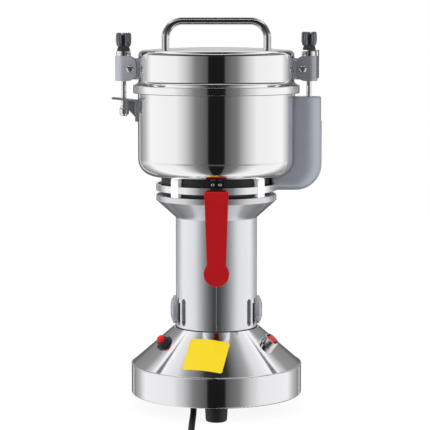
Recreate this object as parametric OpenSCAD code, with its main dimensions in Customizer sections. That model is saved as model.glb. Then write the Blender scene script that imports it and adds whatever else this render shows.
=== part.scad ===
// Electric grain mill: upright motor column on a round base, tilting head with
// bowl, clamped lid and blades. Origin on the axis at floor level, +Z up, front -Y.

/* [Base] */
// Diameter of the base band
base_d = 204; // [195:0.5:213]
// Height of the band's lower edge above the floor
base_bottom_z = 18.2; // [15.5:0.1:19.5]
// Height of the straight band
band_h = 35.1; // [31:0.1:37.5]
// Height of the cone's top above the floor
base_top_z = 98.1; // [95:0.1:100]
// Sheet thickness of the base
base_wall = 1.6; // [1.2:0.1:2.4]
// Width of the flat lip around the column
neck_lip_w = 2.2; // [1.6:0.1:3]
// Rounding of the band's two edges
band_edge_r = 1.4; // [0.8:0.1:2]
// Thickness of the bottom plate
base_plate_t = 2; // [1.5:0.1:3]
// Step of the bottom plate above the band's lower edge
base_plate_step = 1; // [0.6:0.1:2]
// Diameter of the raised well in the bottom plate
well_d = 100; // [90:1:110]
// Depth of the raised well
well_h = 18; // [15:0.5:20]

/* [Feet] */
// Diameter of a rubber foot at its top
foot_d = 27; // [22:0.5:32]
// Diameter of a rubber foot at its bottom
foot_bottom_d = 25; // [20:0.5:30]
// Rounding of the foot's lower edge
foot_corner_r = 2.5; // [1:0.1:4]
// Distance of the feet inside the base rim
foot_inset = 19; // [17.5:0.5:26]
// Thread diameter of the foot screws
foot_screw_d = 5; // [4:0.1:6]

/* [Column] */
// Outer diameter of the motor column
column_d = 97; // [93:0.5:100]
// Sheet thickness of the column
column_wall = 1.2; // [1:0.1:1.8]
// Height of the column's top edge
column_top_z = 229.7; // [225:0.1:232]
// Width of one vent slot
vent_w = 7.4; // [5:0.2:9]
// Lower end of the vent slots
vent_z0 = 102.1; // [100:0.1:106]
// Upper end of the vent slots
vent_z1 = 134.6; // [128:0.1:140]
// Thickness of the column's foot flange
column_foot_t = 2; // [1.5:0.1:3]
// Diameter of the column's foot flange
column_foot_d = 116; // [110:1:118]

/* [Funnel] */
// Outer diameter of the flange on the funnel
flange_d = 143.2; // [138:0.2:149]
// Height where the funnel meets the flange
funnel_top_z = 250.6; // [247:0.1:252.2]
// Height of the flange's top face
flange_top_z = 257.2; // [255:0.1:258.7]
// Sheet thickness of funnel and flange
funnel_wall = 1.6; // [1.2:0.1:2.4]

/* [Vented collar] */
// Height of the collar ring's lower edge
ring_bottom_z = 262.2; // [261.7:0.1:263.2]
// Height of the collar ring's upper edge
ring_top_z = 270.2; // [268.2:0.1:270.4]
// Thickness of the collar ring
ring_t = 2; // [1.5:0.1:3]
// Width of one post
post_w = 11; // [8:0.5:13]
// Radial depth of one post
post_t = 6; // [5:0.2:7]
// Thickness of the plate under the bowl
head_plate_t = 3; // [2.5:0.1:3.6]

/* [Bowl] */
// Outer diameter of the bowl
bowl_d = 186.2; // [183:0.2:190]
// Height of the bowl's bottom
bowl_bottom_z = 279.5; // [278:0.1:281]
// Height of the bowl's rim
bowl_rim_z = 385.2; // [383.5:0.1:386.2]
// Sheet thickness of the bowl
bowl_wall = 1.4; // [1.1:0.1:2]
// Outer radius of the bowl's bottom corner
bowl_corner_r = 20; // [15:0.5:22]
// Overhang of the rim's rolled edge
bowl_rim_out = 2.4; // [1.2:0.1:3]

/* [Lid] */
// Step of the lid's wall inside the bowl's wall
lid_step = 0.85; // [0.4:0.05:1.4]
// Overhang of the lid's lip beyond the bowl's wall
lip_out = 5.5; // [5:0.1:6.8]
// Height of the lip's lower edge
lip_bottom_z = 378; // [375.5:0.1:379.4]
// Height where the flare meets the lip
lip_top_z = 384.8; // [383.2:0.1:386.2]
// Height where the flare meets the wall
flare_top_z = 391.1; // [390.1:0.1:393]
// Height of the lid's shoulder
lid_top_z = 428; // [426:0.2:428.8]
// Rise of the domed top above the shoulder
dome_rise = 3.5; // [2:0.1:4.5]
// Rounding of the lid's top edge
lid_corner_r = 4; // [3:0.1:6]
// Sheet thickness of the lid
lid_wall = 1.2; // [1:0.1:1.4]

/* [Lid handle] */
// Diameter of the handle's rod
handle_d = 9; // [7:0.2:11]
// Distance of the handle's legs inside the lid's wall
handle_inset = 32; // [28:0.2:37]
// Height of the handle's top
handle_top_z = 466.6; // [459:0.2:473]
// Bend radius of the handle on its centre line
handle_bend_r = 20; // [14:0.5:24]
// Diameter of the studs that hold the handle
handle_stud_d = 6; // [5:0.1:7]

/* [Clamps] */
// Distance of the clamp pivot outside the bowl's wall
clamp_pivot_out = 8.8; // [8.5:0.1:9.3]
// Height of the clamp pivot
clamp_pivot_z = 406; // [405:0.1:407]
// Distance of the clamp rod outside the pivot
rod_out = 7.9; // [7.5:0.1:8.3]
// Diameter of the clamp rod
rod_d = 6; // [5:0.1:6.4]
// Height of the clamp block
block_h = 29.4; // [27.5:0.1:30.5]
// Width of the clamp block, front to back
block_w = 20; // [18.8:0.2:21]
// Sheet thickness of the clamp block
block_t = 1.5; // [1.2:0.1:1.8]
// Diameter of the pivot screw's shank
pivot_screw_d = 4; // [3:0.1:5]
// Diameter of the pivot screw's head
pivot_head_d = 8.4; // [7:0.1:10]
// Lower end of the rod's acorn
acorn_bottom_z = 350.1; // [348.6:0.1:351.1]
// Diameter of the rod's acorn
acorn_d = 10.4; // [9:0.1:11]
// Height of the rod's acorn
acorn_h = 12.5; // [11:0.1:13]
// Diameter of the thrust collar under the knob
collar_d = 17.6; // [17:0.1:20]
// Height of the thrust collar
collar_h = 5.6; // [4.5:0.1:6]
// Diameter of the knob's neck
knob_neck_d = 15.6; // [14:0.1:16.4]
// Height of the knob's neck
knob_neck_h = 6.6; // [5:0.1:8]
// Overall diameter of the knob's lobes
knob_d = 19.6; // [18:0.1:20]
// Height of the knob's lobes
knob_lobe_h = 15.4; // [12:0.1:18]
// Angle that a clamp swings outward while the lid lifts
clamp_swing = 24; // [20:1:24]

/* [Clamp lugs] */
// Height of the lug plate's top at the rod
lug_top_z = 370.8; // [370.2:0.1:371.4]
// Reach of the lug plate beyond the rod's axis
lug_reach = 13.8; // [11:0.1:14]
// Width of the lug plate
lug_w = 22; // [20:0.5:24]
// Thickness of the lug plate
lug_t = 2; // [1.6:0.1:2.4]
// Outward rise of the lug plate in degrees
lug_rise = 6; // [2:0.5:8]

/* [Interlock housing] */
// Distance of the housing's outer side outside the rod
housing_out = 15.4; // [14.4:0.1:17]
// Width of the housing, front to back
housing_w = 38; // [34:0.5:42]
// Height of the housing's top
housing_top_z = 373; // [372.5:0.1:374.2]
// Height of the housing's bottom
housing_bottom_z = 262; // [261.4:0.1:263.8]
// Outer radius of the housing's bend
housing_bend_r = 31; // [24:0.5:36]
// Wall thickness of the housing
housing_wall = 2.2; // [1.6:0.1:3]

/* [Lever] */
// Width of the lever at its top
lever_top_w = 28; // [22:0.5:32]
// Width of the lever above its thumb disc
lever_neck_w = 21.6; // [18:0.2:24]
// Diameter of the lever's thumb disc
lever_disc_d = 29.5; // [26:0.5:34]
// Height of the lever's top edge
lever_top_z = 267.2; // [265.2:0.1:268.2]
// Height of the lever's lowest point
lever_bottom_z = 156.8; // [148:0.2:167]
// Thickness of the lever
lever_t = 2.6; // [2:0.1:3.2]
// Diameter of the lever's pin
lever_pin_d = 3; // [2.4:0.1:3.2]

/* [Tilt hinge] */
// Distance of the hinge pin behind the axis
hinge_y = 79.5; // [78.5:0.1:82]
// Height of the hinge pin
hinge_z = 259.7; // [259.2:0.1:260.2]
// Diameter of the hinge pin
hinge_pin_d = 5; // [4:0.1:5.6]
// Diameter of the hinge knuckles
knuckle_d = 10; // [9:0.1:10.6]
// Width of the hinge over its outer knuckles
hinge_w = 46; // [40:0.5:52]

/* [Motor] */
// Height of the stator's lamination stack
stator_h = 52; // [44:1:56]
// Lower face of the stator
stator_z = 139; // [137:0.5:141]
// Diameter of the armature
armature_d = 52; // [46:0.5:56]
// Number of armature slots
armature_slots = 12; // [8:1:16]
// Diameter of the motor shaft
shaft_d = 12; // [10:0.2:13]
// Diameter of the commutator
commutator_d = 32; // [28:0.5:36]
// Height of the brush axis
brush_z = 117.9; // [117.3:0.1:118.7]
// Rim diameter of a brush cap
brush_cap_d = 33.6; // [30:0.2:36]
// Outward stand of a brush cap from the column
brush_cap_out = 5.6; // [4.6:0.1:7.6]
// Number of fan blades
fan_blades = 9; // [7:1:11]

/* [Coupling and blades] */
// Diameter of the coupling
coupling_d = 34; // [30:0.5:38]
// Height of the coupling's dogs
dog_h = 6; // [5:0.2:6.4]
// Gap between a blade's tip and the bowl's wall
blade_tip_gap = 13.7; // [9:0.1:20]
// Width of a grinding blade
blade_w = 22; // [18:0.5:26]
// Thickness of a grinding blade
blade_t = 2.6; // [2:0.1:3.2]

/* [Controls] */
// Distance of switch and reset button inside the base rim
control_inset = 32.7; // [28:0.1:36]
// Angle of switch and reset button from the front
control_angle = 62; // [56:1:66]
// Diameter of the switch barrel
switch_d = 19; // [17:0.2:21]
// Height of the switch barrel above the cone
switch_h = 8.5; // [6:0.1:11]
// Diameter of the reset button's flange
reset_flange_d = 20; // [18:0.2:22]
// Diameter of the reset button's cap
reset_cap_d = 9; // [7:0.1:10]
// Travel of the reset button
reset_travel = 2.4; // [1.5:0.1:2.6]

/* [Cord] */
// Diameter of the power cord
cord_d = 7.5; // [6:0.1:8]
// Length of the tapered strain relief
gland_len = 26; // [20:0.5:28]

/* [Hidden] */
$fn = 64;

// Overrun of every cut
over = 1;
// Radial clearance between fixed pieces, and between moving ones
fit = 0.1;
air = 0.4;
// Running clearance of a pin in its hole
run = 0.06;

// Sizes that follow the bowl's diameter
bowl_r = bowl_d / 2;
bowl_bore_r = bowl_r - bowl_wall;
rim_r = bowl_r + bowl_rim_out;
lid_r = bowl_r - lid_step;
lip_r = bowl_r + lip_out;
clamp_pivot_x = bowl_r + clamp_pivot_out;
rod_x = clamp_pivot_x + rod_out;
housing_x = rod_x + housing_out;
handle_span = 2 * (lid_r - handle_inset);
blade_len = 2 * (bowl_bore_r - blade_tip_gap);

// Base
base_r = base_d / 2;
foot_circle_r = base_r - foot_inset;
control_r = base_r - control_inset;
bead_r = 1.1;
bead_out = 0.3;
band_top_z = base_bottom_z + band_h;
neck_r = column_d / 2 + neck_lip_w;
cone_angle = atan((base_top_z - band_top_z) / (base_r - neck_r));
inner_band_top_z = band_top_z - base_wall * (1 - sin(cone_angle)) / cos(cone_angle);
inner_neck_z = base_top_z - base_wall / cos(cone_angle);
column_foot_drop = 15;
column_foot_z = base_top_z - column_foot_drop;
mount_ring_z = column_foot_z + column_foot_t;
mount_ring_r = column_foot_d / 2 + fit;
plate_z = base_bottom_z + base_plate_step;
plate_r = base_r - base_wall - fit;
well_r = well_d / 2;
foot_count = 3;
foot_start = -90;
column_screw_start = 30;
foot_boss_d = 11;
foot_boss_h = 6;
foot_bore_h = 8;
screw_head_d = 9;
screw_head_h = 3;
column_screw_circle_r = 53;
column_screw_len = 5;

// Column and funnel
column_r = column_d / 2;
column_bore_r = column_r - column_wall;
vent_angles = [53, 67];
seam_w = 0.6;
seam_depth = 0.4;
flange_r = flange_d / 2;
funnel_sleeve_h = 5;

// Collar and head
ring_r = flange_r;
post_count = 4;
post_angle = 47;
post_out = 0.3;
head_plate_r = ring_r - post_t;
skirt_t = 2;
head_plate_z = bowl_bottom_z - head_plate_t;
post_bottom_z = flange_top_z + air;
plate_hole_r = 9;

// Bowl and lid
rim_t = 2;
gasket_lip_t = 3;
gasket_lip_out = 1.2;
gasket_sleeve_t = 2.2;
gasket_rise = 7;
gasket_top_z = flare_top_z + gasket_rise;
dome_flat_w = 0.6;
dome_edge_r = lid_r - lid_corner_r - dome_flat_w;
dome_r = (dome_edge_r * dome_edge_r + dome_rise * dome_rise) / (2 * dome_rise);
handle_r = handle_d / 2;
handle_leg_z = lid_top_z + dome_rise;
nut_h = 5;
stud_z = lid_top_z - lid_wall - nut_h - nut_h / 2;
nut_d = 12;

// Clamps
clamp_block_rise = 0.4;
clamp_top_z = clamp_pivot_z + block_h / 2 + clamp_block_rise;
clamp_bottom_z = clamp_top_z - block_h;
rod_r = rod_d / 2;
cheek_end_r = 9.6;
cheek_end_x = 2.5;
cheek_back = 12;
acorn_neck_h = 2.5;
acorn_neck_t = 1;
acorn_round_share = 0.75;
acorn_shoulder_share = 0.4;
cap_start = 3;
pivot_head_h = 2.2;
pivot_nut_h = 2.4;
cross_w = 1.3;
cross_len = 5.4;
cross_depth = 1.2;
cross_turn = 20;
swing_steps = 4;
ear_gap = 0.4;
ear_r = 12.2;
ear_foot_h = 25;
rod_top_z = clamp_top_z + collar_h + knob_neck_h + knob_lobe_h / 2;
knob_z = clamp_top_z + collar_h;
knob_cap_t = 2.4;
knob_bore_depth = knob_neck_h + knob_lobe_h - knob_cap_t;
knob_lobes = 5;
knob_lobe_d = 6.4;
knob_core_d = 10;
knob_waist_d = 14.4;
knob_lean = 6;
knob_start = 90;
leaf_t = 1.2;
leaf_w = 9;
leaf_drop = 33;
leaf_gap = 0.4;

// Lugs
slot_w = rod_d + 2;
slot_mouth_w = acorn_d + 3.6;
slot_mouth_x = 3.8;
lug_tab_z = 352;
lug_tab_y0 = 7.2;
lug_tab_y1 = 10.2;
lug_tab_t = 2.3;
lug_inside_drop = 1.6;
lug_web_t = 4;
lug_foot_h = 27;
lug_foot_t = 3;
lug_leg_x = 5.6;

// Housing
housing_end_x = head_plate_r + air;
housing_r = housing_w / 2;
housing_axis_x = housing_x - housing_r;
housing_bend_x = housing_x - housing_bend_r;
housing_bend_z = housing_bottom_z + housing_bend_r;
housing_slot_drop = 6;
housing_slot_z = acorn_bottom_z - housing_slot_drop;
switch_case_w = 20;
switch_case_h = 16;
switch_case_t = 10;
switch_case_drop = 29.5;
switch_case_z = acorn_bottom_z - switch_case_drop;

// Lever and tilt hinge
lever_pin_out = 3.4;
lever_pin_y = -(flange_r + lever_pin_out);
lever_pin_rise = 2.8;
lever_pin_z = flange_top_z + lever_pin_rise;
lever_barrel_r = 2.6;
lever_face_out = 3;
lever_cheek_r = 4;
bracket_w = 16;
bracket_tongue_t = 3;
bracket_leg_y = 62;
bracket_leg_t = 3;
bracket_foot_len = 14;
bracket_screw_d = 5;
bracket_screw_x = 3.5;
bracket_screw_out = 2;
knuckle_r = knuckle_d / 2;
hinge_mid_w = hinge_w / 2 - fit;
hinge_leaf_t = 4;
hinge_arm_t = 3.6;
hinge_arm_len = 34;

// Motor
lower_bracket_rise = 7;
lower_bracket_z = base_top_z + lower_bracket_rise;
bracket_plate_t = 6;
bearing_w = 9;
upper_bracket_drop = 14.5;
upper_bracket_z = column_top_z - upper_bracket_drop;
lower_bearing_z = lower_bracket_z - bearing_w;
upper_bearing_z = upper_bracket_z;
stator_d = 2 * (column_bore_r - fit);
bearing_d = 32;
bearing_wall = 5;
spoke_w = 12;
spoke_turn = 45;
shaft_end_len = 17;
shaft_bottom_z = lower_bracket_z - shaft_end_len;
motor_air = 0.7;
pole_angle = 120;
coil_h = 7;
coil_t = 12;
commutator_h = 22;
commutator_bars = 24;
bar_gap = 0.8;
brush_w = 9;
holder_wall = 2;
fan_drop = 16;
fan_z = upper_bracket_z - fan_drop;
fan_h = 13;
fan_d = 84;
fan_hub_d = 30;
fan_blade_t = 2;
winding_h = 7;
armature_slot_w = 4;
armature_slot_depth = 9;
plug_d = 17;
cap_hole_d = 22;
cap_bevel = 2;
cap_cone_h = 2.6;
cap_face_d = 22.5;
plug_out = 0.6;
plug_slot_w = 2;

// Coupling, blade shaft and blades
hub_h = 7;
coupling_drop = 15;
coupling_z = flange_top_z - coupling_drop;
coupling_r = coupling_d / 2;
dog_inner_r = 9;
dog_inset = 0.8;
dog_angle = 44;
dog_count = 3;
housing_hub_d = 44;
housing_flange_d = 68;
housing_flange_h = 4;
bearing_seat_drop = 10;
blade_bearing_z = head_plate_z - bearing_seat_drop;
blade_shaft_d = 12;
seal_d = 30;
seal_neck_d = 18;
seal_h = 6;
lower_blade_rise = 12;
lower_blade_z = bowl_bottom_z + lower_blade_rise;
blade_gap = 20;
spacer_d = 22;
blade_nut_h = 9;
blade_flat_share = 0.58;
lower_bend = -5;
upper_bend = 22;
edge_angle = 18;

// Controls
control_z = band_top_z + (base_r - control_r) * tan(cone_angle);
breaker_body_d = 17;
breaker_body_h = 14;
reset_flange_h = 1.6;
reset_barrel_d = 13;
reset_barrel_h = 6;
reset_cap_out = 5;
reset_bore_h = 12;
reset_round_share = 0.17;
rocker_w = 9;
rocker_len = 13;
rocker_h = 3;
rocker_axle_r = 2;
rocker_swing = 12;
bezel_wall = 2;
switch_body_d = 16;
switch_body_h = 15;

// Cord route on the floor, then the coil
cord_r = cord_d / 2;
cord_x = -27;
gland_z = 27;
gland_y = 10;
gland_tip_d = 9.4;
gland_base_d = 14;
gland_thread_d = 11;
gland_thread_len = 12;
cord_points = [[cord_x, gland_y, gland_z], [-27, 4, 26.5], [-27, -2, 25], [-27, -8, 22.8], [-27, -14, 20],
    [-27, -20, 17], [-27, -26, 13.8], [-27, -32, 10.7], [-27, -38, 8], [-27, -44, 5.8],
    [-27, -50, 4.3], [-27, -56, 3.75], [-27.1, -66, 3.75], [-27.3, -80, 3.75], [-27.6, -96, 3.75],
    [-28, -116, 3.75], [-28.2, -136, 3.75], [-28.3, -156, 3.75], [-28.2, -176, 3.75],
    [-28, -196, 3.75], [-28, -216, 3.75], [-28, -236, 3.75], [-28, -246, 3.75]];
coil_r = 51;
coil_gap = 0.6;
coil_pitch = cord_d + coil_gap;
coil_layer_turns = 1.875;
climb_turns = 0.5;
coil_turns = 2 * coil_layer_turns + climb_turns;
coil_steps = 24;
coil_sides = 6;
coil_start = cord_points[len(cord_points) - 1];
coil_x = coil_start[0] + coil_r;
coil_y = coil_start[1] - cord_d;
coil_end_len = 42;
plug_len = 34;
plug_w = 26;
plug_h = 22;
plug_pin_d = 4;
plug_pin_len = 19;
plug_pin_gap = 19;

// A profile turned about the axis, with rounded outer corners
module blank(r, z0, z1, low_r, high_r) {
    if (z1 - z0 > low_r + high_r) translate([0, z0 + low_r]) square([r, z1 - z0 - low_r - high_r]);
    if (low_r > 0) {
        translate([0, z0]) square([r - low_r, low_r]);
        translate([r - low_r, z0 + low_r]) intersection() {
            circle(low_r);
            translate([0, -low_r]) square(low_r);
        }
    }
    if (high_r > 0) {
        translate([0, z1 - high_r]) square([r - high_r, high_r]);
        translate([r - high_r, z1 - high_r]) intersection() {
            circle(high_r);
            square(high_r);
        }
    }
}

module turned(r, z0, z1, low_r = 0, high_r = 0) {
    rotate_extrude() blank(r, z0, z1, low_r, high_r);
}

module disc(d, z, h) {
    translate([0, 0, z]) cylinder(d = d, h = h);
}

module ring(d, bore, z, h) {
    difference() {
        disc(d, z, h);
        disc(bore, z - over, h + 2 * over);
    }
}

// A cylinder that lies along Y, centred on x and z
module y_rod(d, x, y0, y1, z) {
    translate([x, y1, z]) rotate([90, 0, 0]) cylinder(d = d, h = y1 - y0);
}

module x_rod(d, x0, x1, y, z) {
    translate([x0, y, z]) rotate([0, 90, 0]) cylinder(d = d, h = x1 - x0);
}

module block(x0, x1, y0, y1, z0, z1) {
    translate([x0, y0, z0]) cube([x1 - x0, y1 - y0, z1 - z0]);
}

// Carries a piece from the cone's surface frame to its place on the cone
module on_cone(side) {
    rotate([0, 0, side * control_angle]) translate([0, -control_r, control_z])
        rotate([cone_angle, 0, 0]) children();
}

module around(count, start = 0) {
    for (i = [0 : count - 1]) rotate([0, 0, start + i * 360 / count]) children();
}

module both_sides() {
    children();
    mirror([1, 0, 0]) children();
}

// Base and feet
module base_shell() {
    color("silver") difference() {
        union() {
            rotate_extrude() difference() {
                union() {
                    blank(base_r, base_bottom_z, band_top_z, band_edge_r, 0);
                    polygon([[0, band_top_z], [base_r, band_top_z], [neck_r, base_top_z], [0,
                        base_top_z]]);
                    // Rolled bead between band and cone
                    translate([base_r + bead_out - bead_r, band_top_z]) circle(bead_r);
                }
                translate([0, base_bottom_z - over])
                    square([base_r - base_wall, inner_band_top_z - base_bottom_z + over]);
                polygon([[0, inner_band_top_z], [base_r - base_wall, inner_band_top_z],
                    [neck_r - base_wall, inner_neck_z], [0, inner_neck_z]]);
            }
            rotate_extrude() intersection() {
                polygon([[0, band_top_z], [base_r, band_top_z], [neck_r, base_top_z], [0, base_top_z]]);
                translate([0, mount_ring_z]) square([mount_ring_r, base_top_z - mount_ring_z]);
            }
        }
        disc(column_d + 2 * air, 0, base_top_z + over);
        around(foot_count, column_screw_start) translate([column_screw_circle_r, 0, 0])
            cylinder(d = foot_screw_d + 2 * fit, h = mount_ring_z + column_screw_len + fit);
        for (side = [-1, 1]) on_cone(side) translate([0, 0, -base_top_z / 2])
            cylinder(d = breaker_body_d + 2 * fit, h = base_top_z);
    }
}

module base_plate() {
    color("gray") difference() {
        union() {
            rotate_extrude() difference() {
                union() {
                    translate([0, plate_z]) square([plate_r, base_plate_t]);
                    translate([0, plate_z]) square([well_r + base_plate_t, well_h + base_plate_t]);
                }
                translate([0, plate_z - over]) square([well_r, well_h + over]);
            }
            around(foot_count, foot_start) translate([foot_circle_r, 0, plate_z])
                cylinder(d = foot_boss_d, h = foot_boss_h);
        }
        around(foot_count, foot_start) translate([foot_circle_r, 0, 0])
            cylinder(d = foot_screw_d + 2 * fit, h = base_top_z);
        y_rod(gland_thread_d + 2 * fit, cord_x, 0, well_r + base_plate_t, gland_z);
    }
}

module rubber_feet() {
    color("#202022") around(foot_count, foot_start) translate([foot_circle_r, 0, 0]) difference() {
        rotate_extrude() {
            blank(foot_bottom_d / 2, 0, foot_corner_r * 2, foot_corner_r, 0);
            polygon([[0, foot_corner_r], [foot_bottom_d / 2, foot_corner_r], [foot_d / 2, plate_z],
                [0, plate_z]]);
        }
        translate([0, 0, -over]) cylinder(d = screw_head_d + 2 * fit, h = foot_bore_h + over);
        translate([0, 0, -over]) cylinder(d = foot_screw_d + 2 * fit, h = plate_z + 2 * over);
    }
}

module base_screws() {
    color("silver") {
        around(foot_count, foot_start) translate([foot_circle_r, 0, foot_bore_h - screw_head_h]) {
            cylinder(d = screw_head_d, h = screw_head_h);
            cylinder(d = foot_screw_d, h = plate_z + foot_boss_h - foot_bore_h + screw_head_h);
        }
        around(foot_count, column_screw_start) translate([column_screw_circle_r, 0, column_foot_z
            - screw_head_h]) {
            cylinder(d = screw_head_d, h = screw_head_h);
            cylinder(d = foot_screw_d, h = screw_head_h + column_foot_t + column_screw_len);
        }
    }
}

// Column
module slot_outline(w, len) {
    translate([-w / 2, w / 2]) square([w, len - w]);
    for (end = [w / 2, len - w / 2]) translate([0, end]) circle(d = w);
}

module vent_slot() {
    translate([0, 0, vent_z0]) rotate([90, 0, 0]) linear_extrude(column_r + over)
        slot_outline(vent_w, vent_z1 - vent_z0);
}

module motor_column() {
    color("silver") difference() {
        union() {
            disc(column_d, column_foot_z, column_top_z - column_foot_z);
            disc(column_foot_d, column_foot_z, column_foot_t);
        }
        disc(2 * column_bore_r, column_foot_z - over, column_top_z - column_foot_z + 2 * over);
        for (turn = [0, 180], side = [-1, 1], angle = vent_angles)
            rotate([0, 0, turn + side * angle]) vent_slot();
        block(-seam_w / 2, seam_w / 2, -column_r - over, -column_r + seam_depth, column_foot_z,
            column_top_z + over);
        both_sides() x_rod(cap_hole_d + 2 * fit, shaft_d, column_d, 0, brush_z);
        around(foot_count, column_screw_start) translate([column_screw_circle_r, 0, 0])
            cylinder(d = foot_screw_d + 2 * fit, h = base_top_z);
    }
}

module column_funnel() {
    color("silver") rotate_extrude() difference() {
        union() {
            translate([column_bore_r - column_wall, column_top_z - funnel_sleeve_h])
                square([column_wall - fit, funnel_sleeve_h]);
            polygon([[column_bore_r - column_wall, column_top_z], [column_r, column_top_z],
                [flange_r, funnel_top_z], [flange_r, flange_top_z], [column_bore_r - column_wall,
                    flange_top_z]]);
        }
        polygon([[0, column_top_z], [column_bore_r - column_wall, column_top_z],
            [flange_r - funnel_wall, funnel_top_z + funnel_wall / 2],
            [flange_r - funnel_wall, flange_top_z + over], [0, flange_top_z + over]]);
    }
}

// Brush gear at both sides of the column
module brush_caps() {
    color("silver") both_sides() difference() {
        union() {
            x_rod(cap_hole_d, column_bore_r - holder_wall, column_r + brush_cap_out - cap_cone_h, 0,
                brush_z);
            difference() {
                translate([0, 0, brush_z]) rotate([0, 90, 0]) {
                    cylinder(d = brush_cap_d, h = column_r + brush_cap_out - cap_cone_h);
                    translate([0, 0, column_r + brush_cap_out - cap_cone_h])
                        cylinder(d1 = brush_cap_d - cap_bevel / 2, d2 = cap_face_d, h = cap_cone_h);
                }
                disc(column_d + 2 * fit, brush_z - brush_cap_d, 2 * brush_cap_d);
            }
        }
        x_rod(plug_d + 2 * fit, 0, column_r + brush_cap_out + over, 0, brush_z);
    }
}

module brush_cap_plugs() {
    color("#1c1c1e") both_sides() difference() {
        x_rod(plug_d, column_bore_r - holder_wall, column_r + brush_cap_out + plug_out, 0, brush_z);
        block(column_r + brush_cap_out + plug_out - plug_slot_w, column_r + brush_cap_out + plug_out
            + over,
            -plug_d / 2 - over, plug_d / 2 + over, brush_z - plug_slot_w / 2, brush_z + plug_slot_w / 2);
    }
}

module brush_holders() {
    color("#3a3c40") both_sides() difference() {
        block(commutator_d / 2 + cap_bevel, column_bore_r - holder_wall, -brush_w / 2 - holder_wall,
            brush_w / 2 + holder_wall, lower_bracket_z, brush_z + brush_w / 2 + holder_wall);
        block(0, column_r, -brush_w / 2 - fit, brush_w / 2 + fit, brush_z - brush_w / 2 - fit,
            brush_z + brush_w / 2 + fit);
    }
}

module carbon_brushes() {
    color("#2a2a2c") both_sides() difference() {
        block(commutator_d / 2, column_bore_r - holder_wall, -brush_w / 2, brush_w / 2,
            brush_z - brush_w / 2, brush_z + brush_w / 2);
        disc(commutator_d + 2 * air, brush_z - brush_w, 2 * brush_w);
    }
}

// Motor
module bracket() {
    difference() {
        union() {
            ring(2 * column_bore_r - 2 * fit, 2 * column_bore_r - 2 * fit - 2 * bearing_wall,
                -bracket_plate_t, bracket_plate_t);
            for (turn = [0, 90]) rotate([0, 0, turn])
                block(bearing_wall / 2 - column_bore_r, column_bore_r - bearing_wall / 2,
                    -spoke_w / 2, spoke_w / 2, -bracket_plate_t, 0);
            disc(bearing_d + 2 * bearing_wall, -bearing_w - bearing_wall, bearing_w + bearing_wall);
        }
        disc(shaft_d + 2 * motor_air, -bearing_w - bearing_wall - over, bearing_w + bearing_wall
            + 2 * over);
        disc(bearing_d + 2 * fit, -bearing_w, bearing_w + over);
    }
}

module motor_brackets() {
    color("#8d9094") {
        translate([0, 0, lower_bracket_z]) rotate([0, 0, spoke_turn]) bracket();
        translate([0, 0, upper_bracket_z]) mirror([0, 0, 1]) rotate([0, 0, spoke_turn]) bracket();
    }
}

module bearing(d, bore, z, h) {
    ring(d, bore, z, h);
}

module motor_bearings() {
    color("silver") {
        bearing(bearing_d, shaft_d + 2 * run, lower_bearing_z, bearing_w);
        bearing(bearing_d, shaft_d + 2 * run, upper_bearing_z, bearing_w);
    }
}

module stator_core() {
    color("#5d6166") difference() {
        disc(stator_d, stator_z, stator_h);
        disc(armature_d + 2 * motor_air, stator_z - over, stator_h + 2 * over);
        for (turn = [90, 270]) rotate([0, 0, turn]) translate([0, 0, stator_z - over])
            rotate([0, 0, -(180 - pole_angle) / 2]) rotate_extrude(angle = 180 - pole_angle)
                translate([armature_d / 2, 0]) square([coil_t, stator_h + 2 * over]);
    }
}

module field_coils() {
    color("#a8612a") for (turn = [0, 180], end = [0, 1]) rotate([0, 0, turn - pole_angle / 2])
        translate([0, 0, end == 0 ? stator_z - coil_h : stator_z + stator_h])
            rotate_extrude(angle = pole_angle)
                translate([armature_d / 2 + 2 * motor_air, 0]) square([coil_t, coil_h]);
}

module motor_shaft() {
    color("silver") {
        disc(shaft_d, shaft_bottom_z, coupling_z + hub_h - shaft_bottom_z);
    }
}

module armature_core() {
    color("#6a5138") difference() {
        union() {
            disc(armature_d, stator_z, stator_h);
            disc(armature_d - armature_slot_depth, stator_z - winding_h, stator_h + 2 * winding_h);
        }
        around(armature_slots) block(armature_d / 2 - armature_slot_depth, armature_d,
            -armature_slot_w / 2,
            armature_slot_w / 2, stator_z - over, stator_z + stator_h + over);
        disc(shaft_d, stator_z - winding_h - over, stator_h + 2 * winding_h + 2 * over);
    }
}

module commutator() {
    color("#b87333") difference() {
        ring(commutator_d, shaft_d, brush_z - commutator_h / 2, commutator_h);
        around(commutator_bars) block(commutator_d / 2 - bar_gap, commutator_d, -bar_gap / 2, bar_gap / 2,
            brush_z - commutator_h / 2 - over, brush_z + commutator_h / 2 + over);
    }
}

module cooling_fan() {
    color("#303236") difference() {
        union() {
            disc(fan_hub_d, fan_z, fan_h);
            disc(fan_d, fan_z, fan_blade_t);
            around(fan_blades) block(0, fan_d / 2 - fan_blade_t, -fan_blade_t / 2, fan_blade_t / 2,
                fan_z, fan_z + fan_h);
        }
        disc(shaft_d, fan_z - over, fan_h + 2 * over);
    }
}

// Coupling between motor shaft and blade shaft
module dog_ring(z, start) {
    around(dog_count, start - dog_angle / 2) translate([0, 0, z]) rotate_extrude(angle = dog_angle)
        translate([dog_inner_r, 0]) square([coupling_r - dog_inner_r - dog_inset, dog_h + over]);
}

module coupling_lower() {
    color("#3b3d41") {
        ring(coupling_d, shaft_d, coupling_z, hub_h);
        dog_ring(coupling_z + hub_h - over, 0);
    }
}

module coupling_upper() {
    color("#3b3d41") {
        ring(coupling_d, blade_shaft_d, coupling_z + hub_h + dog_h + air, hub_h);
        dog_ring(coupling_z + hub_h + air, 180 / dog_count);
    }
}

// Head
module bowl_blank(extra) {
    turned(bowl_r + extra, bowl_bottom_z - extra, bowl_rim_z, bowl_corner_r + extra);
}

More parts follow.
